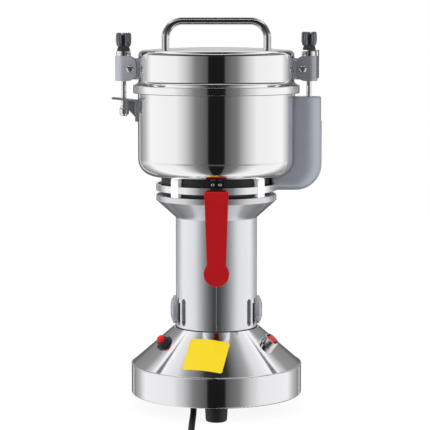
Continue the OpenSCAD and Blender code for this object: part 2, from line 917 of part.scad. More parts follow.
module head_plate() {
    hinge_slot_w = hinge_mid_w / 2;
    color("#2b2c2f") difference() {
        // Plate with a skirt that closes the gap inside the vented collar
        ring(2 * head_plate_r, 2 * plate_hole_r, post_bottom_z, bowl_bottom_z - post_bottom_z);
        disc(2 * (head_plate_r - skirt_t), post_bottom_z - over, head_plate_z - post_bottom_z + over);
        housing_form(fit);
        block(-bracket_w / 2 - fit, bracket_w / 2 + fit, -base_r, bracket_foot_len - bracket_leg_y + fit,
            post_bottom_z - over, head_plate_z);
        block(-hinge_slot_w, hinge_slot_w, hinge_y - hinge_arm_len - fit, base_r,
            head_plate_z - hinge_arm_t - fit, head_plate_z);
    }
}

module vent_ring() {
    color("silver") difference() {
        ring(2 * ring_r, 2 * (ring_r - ring_t), ring_bottom_z, ring_top_z - ring_bottom_z);
        around(post_count, post_angle) block(0, base_r, -post_w / 2 - fit, post_w / 2 + fit,
            flange_top_z, bowl_bottom_z);
        housing_form(fit);
    }
}

module collar_posts() {
    color("white") intersection() {
        ring(2 * (ring_r + post_out), 2 * (head_plate_r + fit), post_bottom_z, bowl_bottom_z
            - post_bottom_z);
        around(post_count, post_angle) block(0, base_r, -post_w / 2, post_w / 2, flange_top_z,
            bowl_bottom_z);
    }
}

module bearing_housing() {
    color("#26272a") difference() {
        union() {
            disc(housing_flange_d, head_plate_z - housing_flange_h, housing_flange_h);
            disc(housing_hub_d, blade_bearing_z, head_plate_z - blade_bearing_z);
        }
        disc(bearing_d + 2 * fit, blade_bearing_z - over, bearing_w + over);
        disc(blade_shaft_d + 2 * air, blade_bearing_z, bowl_bottom_z - blade_bearing_z);
    }
}

module blade_bearing() {
    color("silver") bearing(bearing_d, blade_shaft_d + 2 * run, blade_bearing_z, bearing_w);
}

module bowl() {
    color("#e4e6e8") difference() {
        rotate_extrude() {
            difference() {
                union() {
                    blank(bowl_r, bowl_bottom_z, bowl_rim_z, bowl_corner_r, 0);
                    blank(rim_r, bowl_rim_z - rim_t, bowl_rim_z, rim_t / 2, rim_t / 2);
                }
                blank(bowl_bore_r, bowl_bottom_z + bowl_wall, bowl_rim_z + over, bowl_corner_r
                    - bowl_wall, 0);
            }
        }
        disc(seal_neck_d + 2 * fit, bowl_bottom_z - over, 2 * bowl_wall + over);
    }
}

module shaft_seal() {
    color("#8f2f28") difference() {
        union() {
            disc(seal_d, bowl_bottom_z + bowl_wall, seal_h);
            disc(seal_neck_d, bowl_bottom_z, bowl_wall + seal_h);
        }
        disc(blade_shaft_d + 2 * run, bowl_bottom_z - over, bowl_wall + seal_h + 2 * over);
    }
}

// Blade shaft and blades
module blade_shaft() {
    color("silver") {
        disc(blade_shaft_d, coupling_z + hub_h + dog_h + air, lower_blade_z + blade_gap + blade_t
            + blade_nut_h
            - coupling_z - hub_h - dog_h - air);
    }
}

module blade(z, bend) {
    flat = blade_len * blade_flat_share / 2;
    arm = blade_len / 2 - flat;
    tip_x = flat + arm * cos(bend);
    tip_z = arm * sin(bend);
    top_x = tip_x - blade_t * sin(bend);
    top_z = tip_z + blade_t * cos(bend);
    elbow = blade_t * tan(bend / 2);
    translate([0, 0, z]) difference() {
        translate([0, blade_w / 2, 0]) rotate([90, 0, 0]) linear_extrude(blade_w)
            polygon([[-tip_x, tip_z], [-flat, 0], [flat, 0], [tip_x, tip_z], [top_x, top_z],
                [flat - elbow, blade_t], [elbow - flat, blade_t], [-top_x, top_z]]);
        // Ground cutting edge on each arm
        around(2) translate([flat, -blade_w / 2, -arm]) rotate([0, 0, edge_angle])
            block(0, blade_len, -blade_w, 0, 0, 2 * arm);
        disc(blade_shaft_d + 2 * fit, -over, blade_t + 2 * over);
    }
}

module grinding_blades() {
    color("#c9ccd0") {
        blade(lower_blade_z, lower_bend);
        rotate([0, 0, 90]) blade(lower_blade_z + blade_gap, upper_bend);
    }
}

module blade_nut_stack() {
    color("silver") {
        ring(spacer_d, blade_shaft_d + 2 * fit, bowl_bottom_z + bowl_wall + seal_h + air,
            lower_blade_z - bowl_bottom_z - bowl_wall - seal_h - air);
        ring(spacer_d, blade_shaft_d + 2 * fit, lower_blade_z + blade_t, blade_gap - blade_t);
        difference() {
            translate([0, 0, lower_blade_z + blade_gap + blade_t])
                cylinder(d = spacer_d, h = blade_nut_h, $fn = 6);
            disc(blade_shaft_d + 2 * fit, lower_blade_z, blade_gap + blade_t + blade_nut_h + over);
        }
    }
}

// Tilt hinge behind the collar
module tilt_hinge_base() {
    color("silver") difference() {
        union() for (side = [-1, 1]) {
            x_rod(knuckle_d, side > 0 ? hinge_mid_w / 2 : -hinge_w / 2, side > 0 ? hinge_w / 2 :
                -hinge_mid_w / 2,
                hinge_y, hinge_z);
            block(side > 0 ? hinge_mid_w / 2 : -hinge_w / 2, side > 0 ? hinge_w / 2 : -hinge_mid_w / 2,
                0, hinge_y + knuckle_r, hinge_z - knuckle_r - hinge_leaf_t, hinge_z);
        }
        disc(flange_d + 2 * fit, column_top_z, flange_top_z + over - column_top_z);
        disc(flange_d + 2 * air, flange_top_z, hinge_z + knuckle_d - flange_top_z);
        x_rod(hinge_pin_d + 2 * fit, -hinge_w, hinge_w, hinge_y, hinge_z);
    }
}

module tilt_hinge_head() {
    arm_top_z = head_plate_z;
    color("silver") difference() {
        union() {
            x_rod(knuckle_d, -hinge_mid_w / 2 + air, hinge_mid_w / 2 - air, hinge_y, hinge_z);
            block(-hinge_mid_w / 2 + air, hinge_mid_w / 2 - air, hinge_y - hinge_arm_t / 2, hinge_y
                + knuckle_r, hinge_z, arm_top_z);
            block(-hinge_mid_w / 2 + air, hinge_mid_w / 2 - air, hinge_y - hinge_arm_len, hinge_y
                + knuckle_r,
                arm_top_z - hinge_arm_t, arm_top_z);
        }
        x_rod(hinge_pin_d + 2 * run, -hinge_w, hinge_w, hinge_y, hinge_z);
    }
}

module hinge_pin() {
    color("silver") {
        x_rod(hinge_pin_d, -hinge_w / 2 - cap_bevel, hinge_w / 2 + cap_bevel, hinge_y, hinge_z);
        for (side = [-1, 1]) x_rod(knuckle_d - 2 * fit, side > 0 ? hinge_w / 2 + fit / 2 :
            -hinge_w / 2 - fit / 2 - cap_bevel,
            side > 0 ? hinge_w / 2 + fit / 2 + cap_bevel : -hinge_w / 2 - fit / 2, hinge_y, hinge_z);
    }
}

// Lever
module lever_hinge() {
    color("silver") {
        difference() {
            union() {
                x_rod(2 * lever_barrel_r, -bracket_w / 2, bracket_w / 2, lever_pin_y, lever_pin_z);
                block(-bracket_w / 2, bracket_w / 2, lever_pin_y, -bracket_leg_y, lever_pin_z
                    - bracket_tongue_t / 2,
                    lever_pin_z + bracket_tongue_t / 2);
                block(-bracket_w / 2, bracket_w / 2, -bracket_leg_y - bracket_leg_t, -bracket_leg_y,
                    lever_pin_z - bracket_tongue_t / 2, head_plate_z);
                block(-bracket_w / 2, bracket_w / 2, -bracket_leg_y, bracket_foot_len - bracket_leg_y,
                    head_plate_z - bracket_leg_t, head_plate_z);
            }
            x_rod(lever_pin_d + 2 * fit, -lever_top_w, lever_top_w, lever_pin_y, lever_pin_z);
        }
        x_rod(lever_pin_d, -lever_top_w / 2, lever_top_w / 2, lever_pin_y, lever_pin_z);
        for (side = [-1, 1]) y_rod(bracket_screw_d, side * bracket_screw_x, -bracket_leg_y
            - bracket_leg_t - bracket_screw_out,
            -bracket_leg_y - bracket_leg_t, head_plate_z - bracket_screw_d / 2);
    }
}

module lever_outline() {
    disc_z = lever_bottom_z + lever_disc_d / 2;
    translate([0, disc_z]) circle(d = lever_disc_d);
    polygon([[-lever_neck_w / 2, disc_z], [lever_neck_w / 2, disc_z], [lever_top_w / 2, lever_top_z],
        [-lever_top_w / 2, lever_top_z]]);
}

module red_lever() {
    face_y = lever_pin_y - lever_face_out;
    color("#b01218") difference() {
        union() {
            translate([0, face_y, 0]) rotate([90, 0, 0]) linear_extrude(lever_t) lever_outline();
            for (side = [-1, 1]) {
                x0 = side > 0 ? lever_top_w / 2 - lever_t : -lever_top_w / 2;
                x_rod(2 * lever_cheek_r, x0, x0 + lever_t, lever_pin_y, lever_pin_z);
                block(x0, x0 + lever_t, face_y - lever_t / 2, lever_pin_y, lever_pin_z
                    - lever_cheek_r, lever_pin_z + lever_cheek_r);
            }
        }
        x_rod(lever_pin_d + 2 * run, -lever_top_w, lever_top_w, lever_pin_y, lever_pin_z);
    }
}

// Lid
module lid_section(inset) {
    r = lid_r - inset;
    blank(r, lip_top_z, lid_top_z - inset, 0, lid_corner_r - inset);
    polygon([[0, lip_top_z - inset], [lip_r - inset, lip_top_z - inset], [r, flare_top_z - inset],
        [0, flare_top_z - inset]]);
    translate([0, lip_bottom_z]) square([lip_r - inset, lip_top_z - lip_bottom_z - inset]);
    intersection() {
        translate([0, lid_top_z + dome_rise - dome_r - inset]) circle(dome_r, $fn = 360);
        translate([0, lid_top_z - inset - over]) square([dome_edge_r + dome_flat_w / 2, dome_rise
            + 2 * over]);
    }
}

module lid_shell() {
    color("#e4e6e8") difference() {
        rotate_extrude() difference() {
            lid_section(0);
            lid_section(lid_wall);
            translate([0, lip_bottom_z - over]) square([lip_r - lid_wall, over + fit]);
        }
        both_sides() translate([handle_span / 2, 0, lid_top_z - handle_d])
            cylinder(d = handle_stud_d + 2 * fit, h = 2 * handle_d);
    }
}

module lid_gasket() {
    color("#b9b4ac") rotate_extrude() difference() {
        union() {
            translate([lid_r - lid_wall - fit - gasket_sleeve_t, bowl_rim_z + air])
                square([gasket_sleeve_t, gasket_top_z - bowl_rim_z - air]);
            translate([lid_r - lid_wall - fit - gasket_sleeve_t, bowl_rim_z + air])
                square([gasket_sleeve_t + gasket_lip_out, gasket_lip_t]);
        }
    }
}

module lid_handle() {
    leg_x = handle_span / 2;
    bar_z = handle_top_z - handle_r;
    color("silver") {
        x_rod(handle_d, handle_bend_r - leg_x, leg_x - handle_bend_r, 0, bar_z);
        both_sides() {
            translate([leg_x - handle_bend_r, 0, bar_z - handle_bend_r]) rotate([90, 0, 0])
                rotate_extrude(angle = 90) translate([handle_bend_r, 0]) circle(handle_r);
            translate([leg_x, 0, handle_leg_z]) cylinder(d = handle_d, h = bar_z - handle_bend_r
                - handle_leg_z);
            translate([leg_x, 0, stud_z]) cylinder(d = handle_stud_d, h = handle_leg_z - stud_z);
        }
    }
}

module handle_nuts() {
    color("silver") both_sides() translate([handle_span / 2, 0, lid_top_z - lid_wall - nut_h])
        difference() {
        cylinder(d = nut_d, h = nut_h, $fn = 6);
        translate([0, 0, -over]) cylinder(d = handle_stud_d + 2 * fit, h = nut_h + 2 * over);
    }
}

// Clamps
module lid_ears() {
    ear_w = block_w - 2 * block_t - 2 * ear_gap;
    color("#9a9ea6") both_sides() difference() {
        union() {
            y_rod(2 * ear_r, clamp_pivot_x, -ear_w / 2, ear_w / 2, clamp_pivot_z);
            block(0, clamp_pivot_x, -ear_w / 2, ear_w / 2, clamp_pivot_z - ear_foot_h / 2,
                clamp_pivot_z + ear_foot_h / 2);
        }
        disc(2 * (lid_r + fit / 2), flare_top_z - block_h, 3 * block_h);
        y_rod(pivot_screw_d + 2 * fit, clamp_pivot_x, -block_w, block_w, clamp_pivot_z);
        // Room for the rod, at rest and swung out
        for (share = [0 : 1 / swing_steps : 1]) translate([clamp_pivot_x, 0, clamp_pivot_z])
            rotate([0, -share * clamp_swing, 0])
                block(rod_out - rod_r - air, 2 * block_h, -block_w, block_w, -block_h, block_h);
    }
}

module pivot_screws() {
    face_y = -block_w / 2 - air - pivot_head_h;
    color("silver") both_sides() difference() {
        pivot_screw();
        // Cross recess
        for (turn = [0, 90]) translate([clamp_pivot_x, 0, clamp_pivot_z])
            rotate([0, cross_turn + turn, 0])
            block(-cross_w / 2, cross_w / 2, face_y - over, face_y + cross_depth, -cross_len / 2,
                cross_len / 2);
    }
}

module pivot_screw() {
    union() {
        y_rod(pivot_screw_d, clamp_pivot_x, -block_w / 2 - air, block_w / 2 + air + pivot_nut_h,
            clamp_pivot_z);
        y_rod(pivot_head_d, clamp_pivot_x, -block_w / 2 - air - pivot_head_h, -block_w / 2 - air,
            clamp_pivot_z);
        y_rod(pivot_head_d, clamp_pivot_x, block_w / 2 + air, block_w / 2 + air + pivot_nut_h,
            clamp_pivot_z,
            $fn = 6);
    }
}

module clamp_block() {
    outer_r = block_w / 2;
    inner_r = outer_r - block_t;
    mid_z = (clamp_top_z + clamp_bottom_z) / 2;
    difference() {
        union() {
            // Strap bent round the rod
            difference() {
                union() {
                    translate([rod_x, 0, clamp_bottom_z]) cylinder(r = outer_r, h = block_h);
                    block(clamp_pivot_x - cheek_back, rod_x, -outer_r, outer_r, clamp_bottom_z,
                        clamp_top_z);
                }
                translate([rod_x, 0, clamp_bottom_z + block_t])
                    cylinder(r = inner_r, h = block_h - 2 * block_t);
                block(clamp_pivot_x - cheek_back - over, rod_x, -inner_r, inner_r, clamp_bottom_z
                    + block_t, clamp_top_z - block_t);
                block(0, clamp_pivot_x + cap_start, -inner_r, inner_r, clamp_bottom_z - over,
                    clamp_top_z + over);
            }
        }
        // Rounded inner end of the cheeks
        difference() {
            block(0, clamp_pivot_x + cheek_end_x, -block_w, block_w, clamp_bottom_z - over,
                clamp_top_z + over);
            y_rod(2 * cheek_end_r, clamp_pivot_x + cheek_end_x, -block_w, block_w, clamp_top_z
                - cheek_end_r);
            y_rod(2 * cheek_end_r, clamp_pivot_x + cheek_end_x, -block_w, block_w, clamp_bottom_z
                + cheek_end_r);
            block(clamp_pivot_x + cheek_end_x - cheek_end_r, clamp_pivot_x + cheek_end_x, -block_w,
                block_w,
                clamp_bottom_z + cheek_end_r, clamp_top_z - cheek_end_r);
        }
        y_rod(pivot_screw_d + 2 * run, clamp_pivot_x, -block_w, block_w, clamp_pivot_z);
        translate([rod_x, 0, clamp_bottom_z - over])
            cylinder(d = rod_d + 2 * run, h = block_h + 2 * over);
    }
}

module clamp_block_left() {
    color("#9a9ea6") mirror([1, 0, 0]) clamp_block();
}

module clamp_block_right() {
    leaf_x = rod_x + block_w / 2 + leaf_gap;
    color("#6f7378") {
        clamp_block();
        difference() {
            block(rod_x, leaf_x + leaf_t, -leaf_w / 2, leaf_w / 2, knob_z, knob_z + leaf_t);
            translate([rod_x, 0, knob_z - over]) cylinder(d = rod_d + 2 * air, h = leaf_t + 2 * over);
        }
        block(leaf_x, leaf_x + leaf_t, -leaf_w / 2, leaf_w / 2, knob_z + leaf_t - leaf_drop, knob_z
            + leaf_t);
    }
}

module thrust_collar(top_z) {
    translate([rod_x, 0, clamp_top_z]) difference() {
        cylinder(d = collar_d, h = top_z - clamp_top_z);
        translate([0, 0, -over]) cylinder(d = rod_d + 2 * run, h = block_h);
    }
}

module thrust_collar_left() {
    color("silver") mirror([1, 0, 0]) thrust_collar(knob_z);
}

module thrust_collar_right() {
    color("silver") thrust_collar(knob_z);
}

module clamp_rod() {
    acorn_r = acorn_d / 2;
    translate([rod_x, 0, 0]) {
        translate([0, 0, acorn_bottom_z + acorn_h - acorn_r])
            cylinder(d = rod_d, h = rod_top_z - acorn_bottom_z - acorn_h + acorn_r);
        rotate_extrude() translate([0, acorn_bottom_z]) {
            blank(acorn_r, 0, acorn_h - acorn_neck_h, acorn_r * acorn_round_share,
                acorn_r * acorn_shoulder_share);
            square([rod_r + acorn_neck_t, acorn_h]);
        }
    }
}

module clamp_rod_left() {
    color("silver") mirror([1, 0, 0]) clamp_rod();
}

module clamp_rod_right() {
    color("silver") clamp_rod();
}

module clamp_knob(base_z) {
    lobe_ring_r = (knob_d - knob_lobe_d) / 2;
    lobe_len = knob_lobe_h + knob_cap_t - knob_lobe_d / 2;
    translate([rod_x, 0, base_z]) difference() {
        union() {
            cylinder(d1 = knob_neck_d, d2 = knob_waist_d, h = knob_neck_h);
            translate([0, 0, knob_neck_h]) cylinder(d = knob_core_d, h = knob_lobe_h - knob_cap_t);
            around(knob_lobes, knob_start) translate([lobe_ring_r - lobe_len * sin(knob_lean), 0,
                knob_neck_h - knob_cap_t])
                rotate([0, knob_lean, 0]) {
                    cylinder(d = knob_lobe_d, h = lobe_len);
                    translate([0, 0, lobe_len]) sphere(d = knob_lobe_d);
                }
        }
        translate([0, 0, -over]) cylinder(d = rod_d + 2 * run, h = knob_bore_depth + over);
    }
}

module clamp_knob_left() {
    color("#26272b") mirror([1, 0, 0]) clamp_knob(knob_z + air / 2);
}

module clamp_knob_right() {
    color("#26272b") clamp_knob(knob_z + leaf_t + air / 2);
}

// Lugs on the bowl
function lug_plate_z(x) = lug_top_z + (x - rod_x) * tan(lug_rise);

module lug_angle() {
    tip_x = rod_x + lug_reach;
    in_x = bowl_r - lug_foot_t;
    out_x = bowl_r + lug_foot_t;
    low_z = lug_top_z - lug_foot_h;
    translate([0, lug_w / 2, 0]) rotate([90, 0, 0]) linear_extrude(lug_w)
        polygon([[in_x, lug_plate_z(in_x)], [tip_x, lug_plate_z(tip_x)], [tip_x, lug_plate_z(tip_x)
            - lug_t],
            [out_x, lug_plate_z(out_x) - lug_t], [out_x, low_z], [in_x, low_z]]);
}

// Gusset under the plate
module lug_gusset() {
    root_x = bowl_r + lug_foot_t / 2;
    nose_x = rod_x - lug_leg_x;
    translate([0, lug_web_t / 2, 0]) rotate([90, 0, 0]) linear_extrude(lug_web_t)
        polygon([[root_x, lug_plate_z(root_x) - lug_t / 2], [nose_x, lug_plate_z(nose_x) - lug_t / 2],
            [nose_x, lug_top_z - lug_foot_h / 2], [root_x, lug_top_z - lug_foot_h + lug_foot_t]]);
}

// Bent tab beside the slot
module lug_tab(side) {
    x0 = rod_x - lug_leg_x;
    y0 = side > 0 ? lug_tab_y0 : -lug_tab_y1;
    block(x0, x0 + lug_tab_t, y0, y0 + lug_tab_y1 - lug_tab_y0, lug_tab_z, lug_plate_z(x0) - lug_t / 2);
}

module lug() {
    difference() {
        union() {
            lug_angle();
            lug_gusset();
            for (side = [-1, 1]) lug_tab(side);
        }
        // Slot for the rod, with a mouth that lets the acorn pass
        translate([rod_x, 0, lug_top_z - lug_foot_h]) {
            cylinder(d = slot_w, h = 2 * lug_foot_h);
            block(0, slot_mouth_x + over, -slot_w / 2, slot_w / 2, 0, 2 * lug_foot_h);
            block(slot_mouth_x, 2 * lug_reach, -slot_mouth_w / 2, slot_mouth_w / 2, 0, 2 * lug_foot_h);
        }
        disc(2 * (bowl_r + fit), lug_top_z - 2 * lug_foot_h, 4 * lug_foot_h);
    }
}

module bowl_lugs() {
    color("#a4a7ad") {
        mirror([1, 0, 0]) lug();
        // The right one stands inside the side housing
        intersection() {
            translate([0, 0, -lug_inside_drop]) lug();
            housing_form(-housing_wall - fit);
        }
    }
}

// Interlock housing: a hollow J that carries the switch and its wires under the bowl
module housing_form(inset) {
    r = housing_r + inset;
    end_x = housing_end_x - inset;
    union() {
        translate([housing_axis_x, 0, housing_bend_z])
            cylinder(r = r, h = housing_top_z - housing_bend_z);
        block(end_x, housing_axis_x, -r, r, housing_bend_z, housing_top_z);
        translate([housing_bend_x, 0, housing_bend_z]) rotate([90, 90, 0]) rotate_extrude(angle = 90)
            union() {
                intersection() {
                    translate([housing_axis_x - housing_bend_x, 0]) circle(r);
                    translate([housing_axis_x - housing_bend_x, -r]) square([r, 2 * r]);
                }
                translate([0, -r]) square([housing_axis_x - housing_bend_x, 2 * r]);
            }
        translate([end_x, 0, housing_bottom_z + housing_r]) rotate([0, 90, 0])
            cylinder(r = r, h = housing_bend_x - end_x);
        block(end_x, housing_bend_x, -r, r, housing_bottom_z + housing_r, housing_bend_z + over);
    }
}

module housing_trim(extra) {
    bowl_blank(extra);
    disc(2 * (bowl_r + extra), bowl_bottom_z + bowl_corner_r, housing_top_z - bowl_bottom_z);
    disc(2 * (head_plate_r + extra), head_plate_z - extra, head_plate_t + 2 * extra);
}

module interlock_housing() {
    color("#8b8f97") difference() {
        housing_form(0);
        intersection() {
            housing_form(-housing_wall);
            block(0, housing_x, -housing_w, housing_w, 0, housing_top_z - housing_wall);
        }
        housing_trim(fit);
        // Slot that the rod enters and swings out through
        block(rod_x - slot_w / 2, housing_x + over, -slot_mouth_w / 2, slot_mouth_w / 2,
            housing_slot_z, housing_top_z + over);
    }
}

module interlock_switch() {
    color("#1d1e21") difference() {
        block(0, bowl_r + switch_case_t, -switch_case_w / 2, switch_case_w / 2, switch_case_z,
            switch_case_z + switch_case_h);
        disc(2 * bowl_r + fit, switch_case_z - over, switch_case_h + 2 * over);
    }
}

// Reset breaker and power switch on the cone
module reset_breaker() {
    color("#1b1b1d") on_cone(-1) difference() {
        union() {
            cylinder(d = reset_flange_d, h = reset_flange_h);
            cylinder(d = reset_barrel_d, h = reset_barrel_h);
            translate([0, 0, -breaker_body_h]) cylinder(d = breaker_body_d, h = breaker_body_h);
        }
        translate([0, 0, reset_barrel_h - reset_bore_h])
            cylinder(d = reset_cap_d + 2 * air, h = reset_bore_h + over);
    }
}

module reset_button() {
    color("#c01a1c") on_cone(-1) translate([0, 0, reset_barrel_h - reset_bore_h + reset_travel + air])
        turned(reset_cap_d / 2, 0, reset_bore_h + reset_cap_out - reset_travel - air, 0,
            reset_cap_d * reset_round_share);
}

module switch_bezel() {
    color("silver") on_cone(1) difference() {
        union() {
            turned(switch_d / 2, 0, switch_h, 0, bezel_wall / 2);
            translate([0, 0, -switch_body_h]) cylinder(d = switch_body_d, h = switch_body_h);
        }
        block(-rocker_w / 2 - air, rocker_w / 2 + air, -rocker_len / 2 - air, rocker_len / 2 + air,
            switch_h - 2 * rocker_h - air, switch_h + over);
    }
}

module switch_rocker() {
    color("#c01a1c") on_cone(1) translate([0, 0, switch_h - rocker_h])
        rotate([rocker_swing / 2, 0, 0]) union() {
        x_rod(2 * rocker_axle_r, -rocker_w / 2, rocker_w / 2, 0, 0);
        for (tilt = [-1, 1]) rotate([tilt * rocker_swing / 2, 0, 0])
            block(-rocker_w / 2, rocker_w / 2, tilt > 0 ? 0 : -rocker_len / 2 + rocker_h / 2,
                tilt > 0 ? rocker_len / 2 - rocker_h / 2 : 0, 0, rocker_h);
    }
}

// Cord: a tube along a list of points, its ends square to its first and last stretch
function unit(v) = v / norm(v);
function tangent(p, i) = unit(i == 0 ? p[1] - p[0] : i == len(p) - 1 ? p[i] - p[i - 1] : p[i + 1]
    - p[i - 1]);
function tube_ring(p, i, r, sides) =
    let (t = tangent(p, i), side = unit(cross(t, [0, 0, 1])), up = cross(side, t))
    [for (k = [0 : sides - 1]) p[i] + r * (cos(360 * k / sides) * side + sin(360 * k / sides) * up)];

module tube(points, r, sides) {
    last = (len(points) - 1) * sides;
    polyhedron(
        points = [for (i = [0 : len(points) - 1]) each tube_ring(points, i, r, sides)],
        faces = [
            [for (k = [0 : sides - 1]) k],
            [for (k = [sides - 1 : -1 : 0]) last + k],
            for (i = [0 : len(points) - 2], k = [0 : sides - 1]) let (a = i * sides + k,
                b = i * sides + (k + 1) % sides)
                each [[a, b + sides, b], [a, a + sides, b + sides]]
        ]);
}

function ease(u) = u * u * (3 - 2 * u);
// Share of the climb from the lower layer to the upper one after so many turns
function climb(turns) = ease(min(1, max(0, (turns - coil_layer_turns) / climb_turns)));
function coil_radius(turns) = coil_r - coil_pitch * min(turns, coil_turns - turns);
function coil_point(turns) = let (a = 180 + 360 * turns, r = coil_radius(turns))
    [coil_x + r * cos(a), coil_y + r * sin(a), cord_r + coil_pitch * climb(turns)];
coil_rings = ceil(coil_turns * coil_steps);
coil_end = coil_point(coil_turns);
end_steps = 6;
coil_tail = [for (i = [1 : end_steps]) [coil_end[0] + coil_end_len * i / end_steps, coil_end[1],
    coil_end[2] + (plug_h / 2 - coil_end[2]) * ease(i / end_steps)]];
coil_path = [coil_start, for (i = [0 : coil_rings]) coil_point(coil_turns * i / coil_rings),
    each coil_tail];
plug_start = coil_path[len(coil_path) - 1];

function path_length(p, i = 0) = i >= len(p) - 1 ? 0 : norm(p[i + 1] - p[i]) + path_length(p, i + 1);
// Least distance of the coil's centre line to itself, at least half a turn further on
coil_least = min([for (i = [0 : len(coil_path) - 1], j = [i + coil_steps / 2 : 1 : len(coil_path) - 1])
    norm(coil_path[i] - coil_path[j])]);
echo(cord_length = path_length(cord_points) + path_length(coil_path) + gland_len,
    coil_least_gap = coil_least - cord_d);

module cord_gland() {
    wall_y = sqrt(well_r * well_r - cord_x * cord_x);
    color("#1b1b1d") translate([cord_x, gland_y, gland_z]) rotate([-90, 0, 0]) {
        cylinder(d1 = gland_tip_d, d2 = gland_base_d, h = gland_len);
        translate([0, 0, gland_len]) cylinder(d = gland_thread_d, h = wall_y - gland_y - gland_len
            + gland_thread_len);
    }
}

module cord_run() {
    color("#161617") tube(cord_points, cord_r, 8);
}

module cord_coil() {
    color("#161617") tube(coil_path, cord_r, coil_sides);
}

module cord_plug() {
    color("#161617") translate([plug_start[0], plug_start[1], 0]) {
        block(0, plug_len, -plug_w / 2, plug_w / 2, 0, plug_h);
        for (side = [-1, 1]) x_rod(plug_pin_d, plug_len, plug_len + plug_pin_len,
            side * plug_pin_gap / 2, plug_start[2]);
    }
}

base_shell();
base_plate();
rubber_feet();
base_screws();
motor_column();
column_funnel();
brush_caps();
brush_cap_plugs();
brush_holders();
carbon_brushes();
motor_brackets();
motor_bearings();
stator_core();
field_coils();
motor_shaft();
armature_core();
commutator();
cooling_fan();
coupling_lower();
coupling_upper();
head_plate();
vent_ring();
collar_posts();
bearing_housing();
blade_bearing();
bowl();
shaft_seal();
blade_shaft();
grinding_blades();
blade_nut_stack();
tilt_hinge_base();
tilt_hinge_head();
hinge_pin();
lever_hinge();
red_lever();
lid_shell();
lid_gasket();
lid_handle();
handle_nuts();
lid_ears();
pivot_screws();
clamp_block_left();
clamp_block_right();
thrust_collar_left();
thrust_collar_right();
clamp_rod_left();
clamp_rod_right();
clamp_knob_left();
clamp_knob_right();
bowl_lugs();
interlock_housing();
interlock_switch();
reset_breaker();
reset_button();
switch_bezel();
switch_rocker();
cord_gland();
cord_run();
cord_coil();
cord_plug();
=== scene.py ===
"""Looks of the electric grain mill: camera, studio, finishes and the finely turned pieces.

Sizes are in millimetres in the classes, and turned to metres where a mesh is made.
"""
import logging
import math
from dataclasses import dataclass
from enum import Enum
from typing import Any, Callable, Iterable, Sequence

import bmesh
import bpy
from mathutils import Matrix, Vector


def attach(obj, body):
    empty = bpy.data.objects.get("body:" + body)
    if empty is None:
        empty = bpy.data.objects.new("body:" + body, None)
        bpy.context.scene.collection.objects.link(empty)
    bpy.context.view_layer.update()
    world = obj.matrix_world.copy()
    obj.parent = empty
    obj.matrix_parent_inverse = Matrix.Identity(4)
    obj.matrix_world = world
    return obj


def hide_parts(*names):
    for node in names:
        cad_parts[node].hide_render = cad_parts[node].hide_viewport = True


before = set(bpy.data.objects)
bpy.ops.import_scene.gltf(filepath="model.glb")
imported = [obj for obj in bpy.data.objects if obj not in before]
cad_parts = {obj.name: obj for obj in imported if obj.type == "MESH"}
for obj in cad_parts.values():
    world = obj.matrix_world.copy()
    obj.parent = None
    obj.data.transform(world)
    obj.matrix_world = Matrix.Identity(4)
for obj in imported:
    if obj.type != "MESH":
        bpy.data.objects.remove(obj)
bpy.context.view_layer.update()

LOG = logging.getLogger("grain_mill")
MM = 0.001
FULL_TURN = 2 * math.pi
# Marks to a metre along the grain, patches of tone to a metre, and the height of the relief in metres
ALONG_GRAIN = 18.0
PATCHES = 45.0
RELIEF = 0.0002

Point2 = tuple[float, float]
Point3 = tuple[float, float, float]
Tones = Sequence[tuple[float, str]]


class Grain(Enum):
    """Direction of the fine marks that a finish leaves on a metal."""

    ROUND = "round"
    UPRIGHT = "upright"
    NONE = "none"


def linear(hex_colour: str) -> tuple[float, float, float, float]:
    """Turn an sRGB hex colour to the linear colour that a shader takes.

    Args:
        hex_colour: Six hex digits after a hash sign.

    Returns:
        Red, green, blue and alpha, each from 0 to 1.
    """
    parts = [int(hex_colour[i:i + 2], 16) / 255 for i in (1, 3, 5)]
    red, green, blue = [c / 12.92 if c <= 0.04045 else ((c + 0.055) / 1.055) ** 2.4 for c in parts]
    return red, green, blue, 1.0


def add_node(tree: bpy.types.NodeTree, kind: str, settings: dict[str, Any] | None = None,
             inputs: dict[Any, Any] | None = None) -> bpy.types.Node:
    """Add one shader node with its settings and links.

    Args:
        tree: The material's or world's node tree.
        kind: The node's type name.
        settings: Attributes to set on the node.
        inputs: Input name or number against a value, or against an output socket to link.

    Returns:
        The new node.
    """
    node = tree.nodes.new(kind)
    for name, value in (settings or {}).items():
        setattr(node, name, value)
    for key, value in (inputs or {}).items():
        if isinstance(value, bpy.types.NodeSocket):
            tree.links.new(value, node.inputs[key])
        else:
            node.inputs[key].default_value = value
    return node


def new_material(name: str) -> tuple[bpy.types.Material, bpy.types.NodeTree, bpy.types.Node]:
    """Start a material with a Principled shader.

    Args:
        name: The material's name.

    Returns:
        The material, its tree and its shader node.
    """
    material = bpy.data.materials.new(name)
    material.use_nodes = True
    tree = material.node_tree
    return material, tree, tree.nodes["Principled BSDF"]


def paint_ramp(ramp: bpy.types.ColorRamp, stops: Tones) -> None:
    """Set a colour ramp's stops.

    Args:
        ramp: The ramp to set.
        stops: Place and hex colour of each stop, in order.
    """
    while len(ramp.elements) > 1:
        ramp.elements.remove(ramp.elements[-1])
    ramp.elements[0].position, ramp.elements[0].color = stops[0][0], linear(stops[0][1])
    for place, colour in stops[1:]:
        ramp.elements.new(place).color = linear(colour)


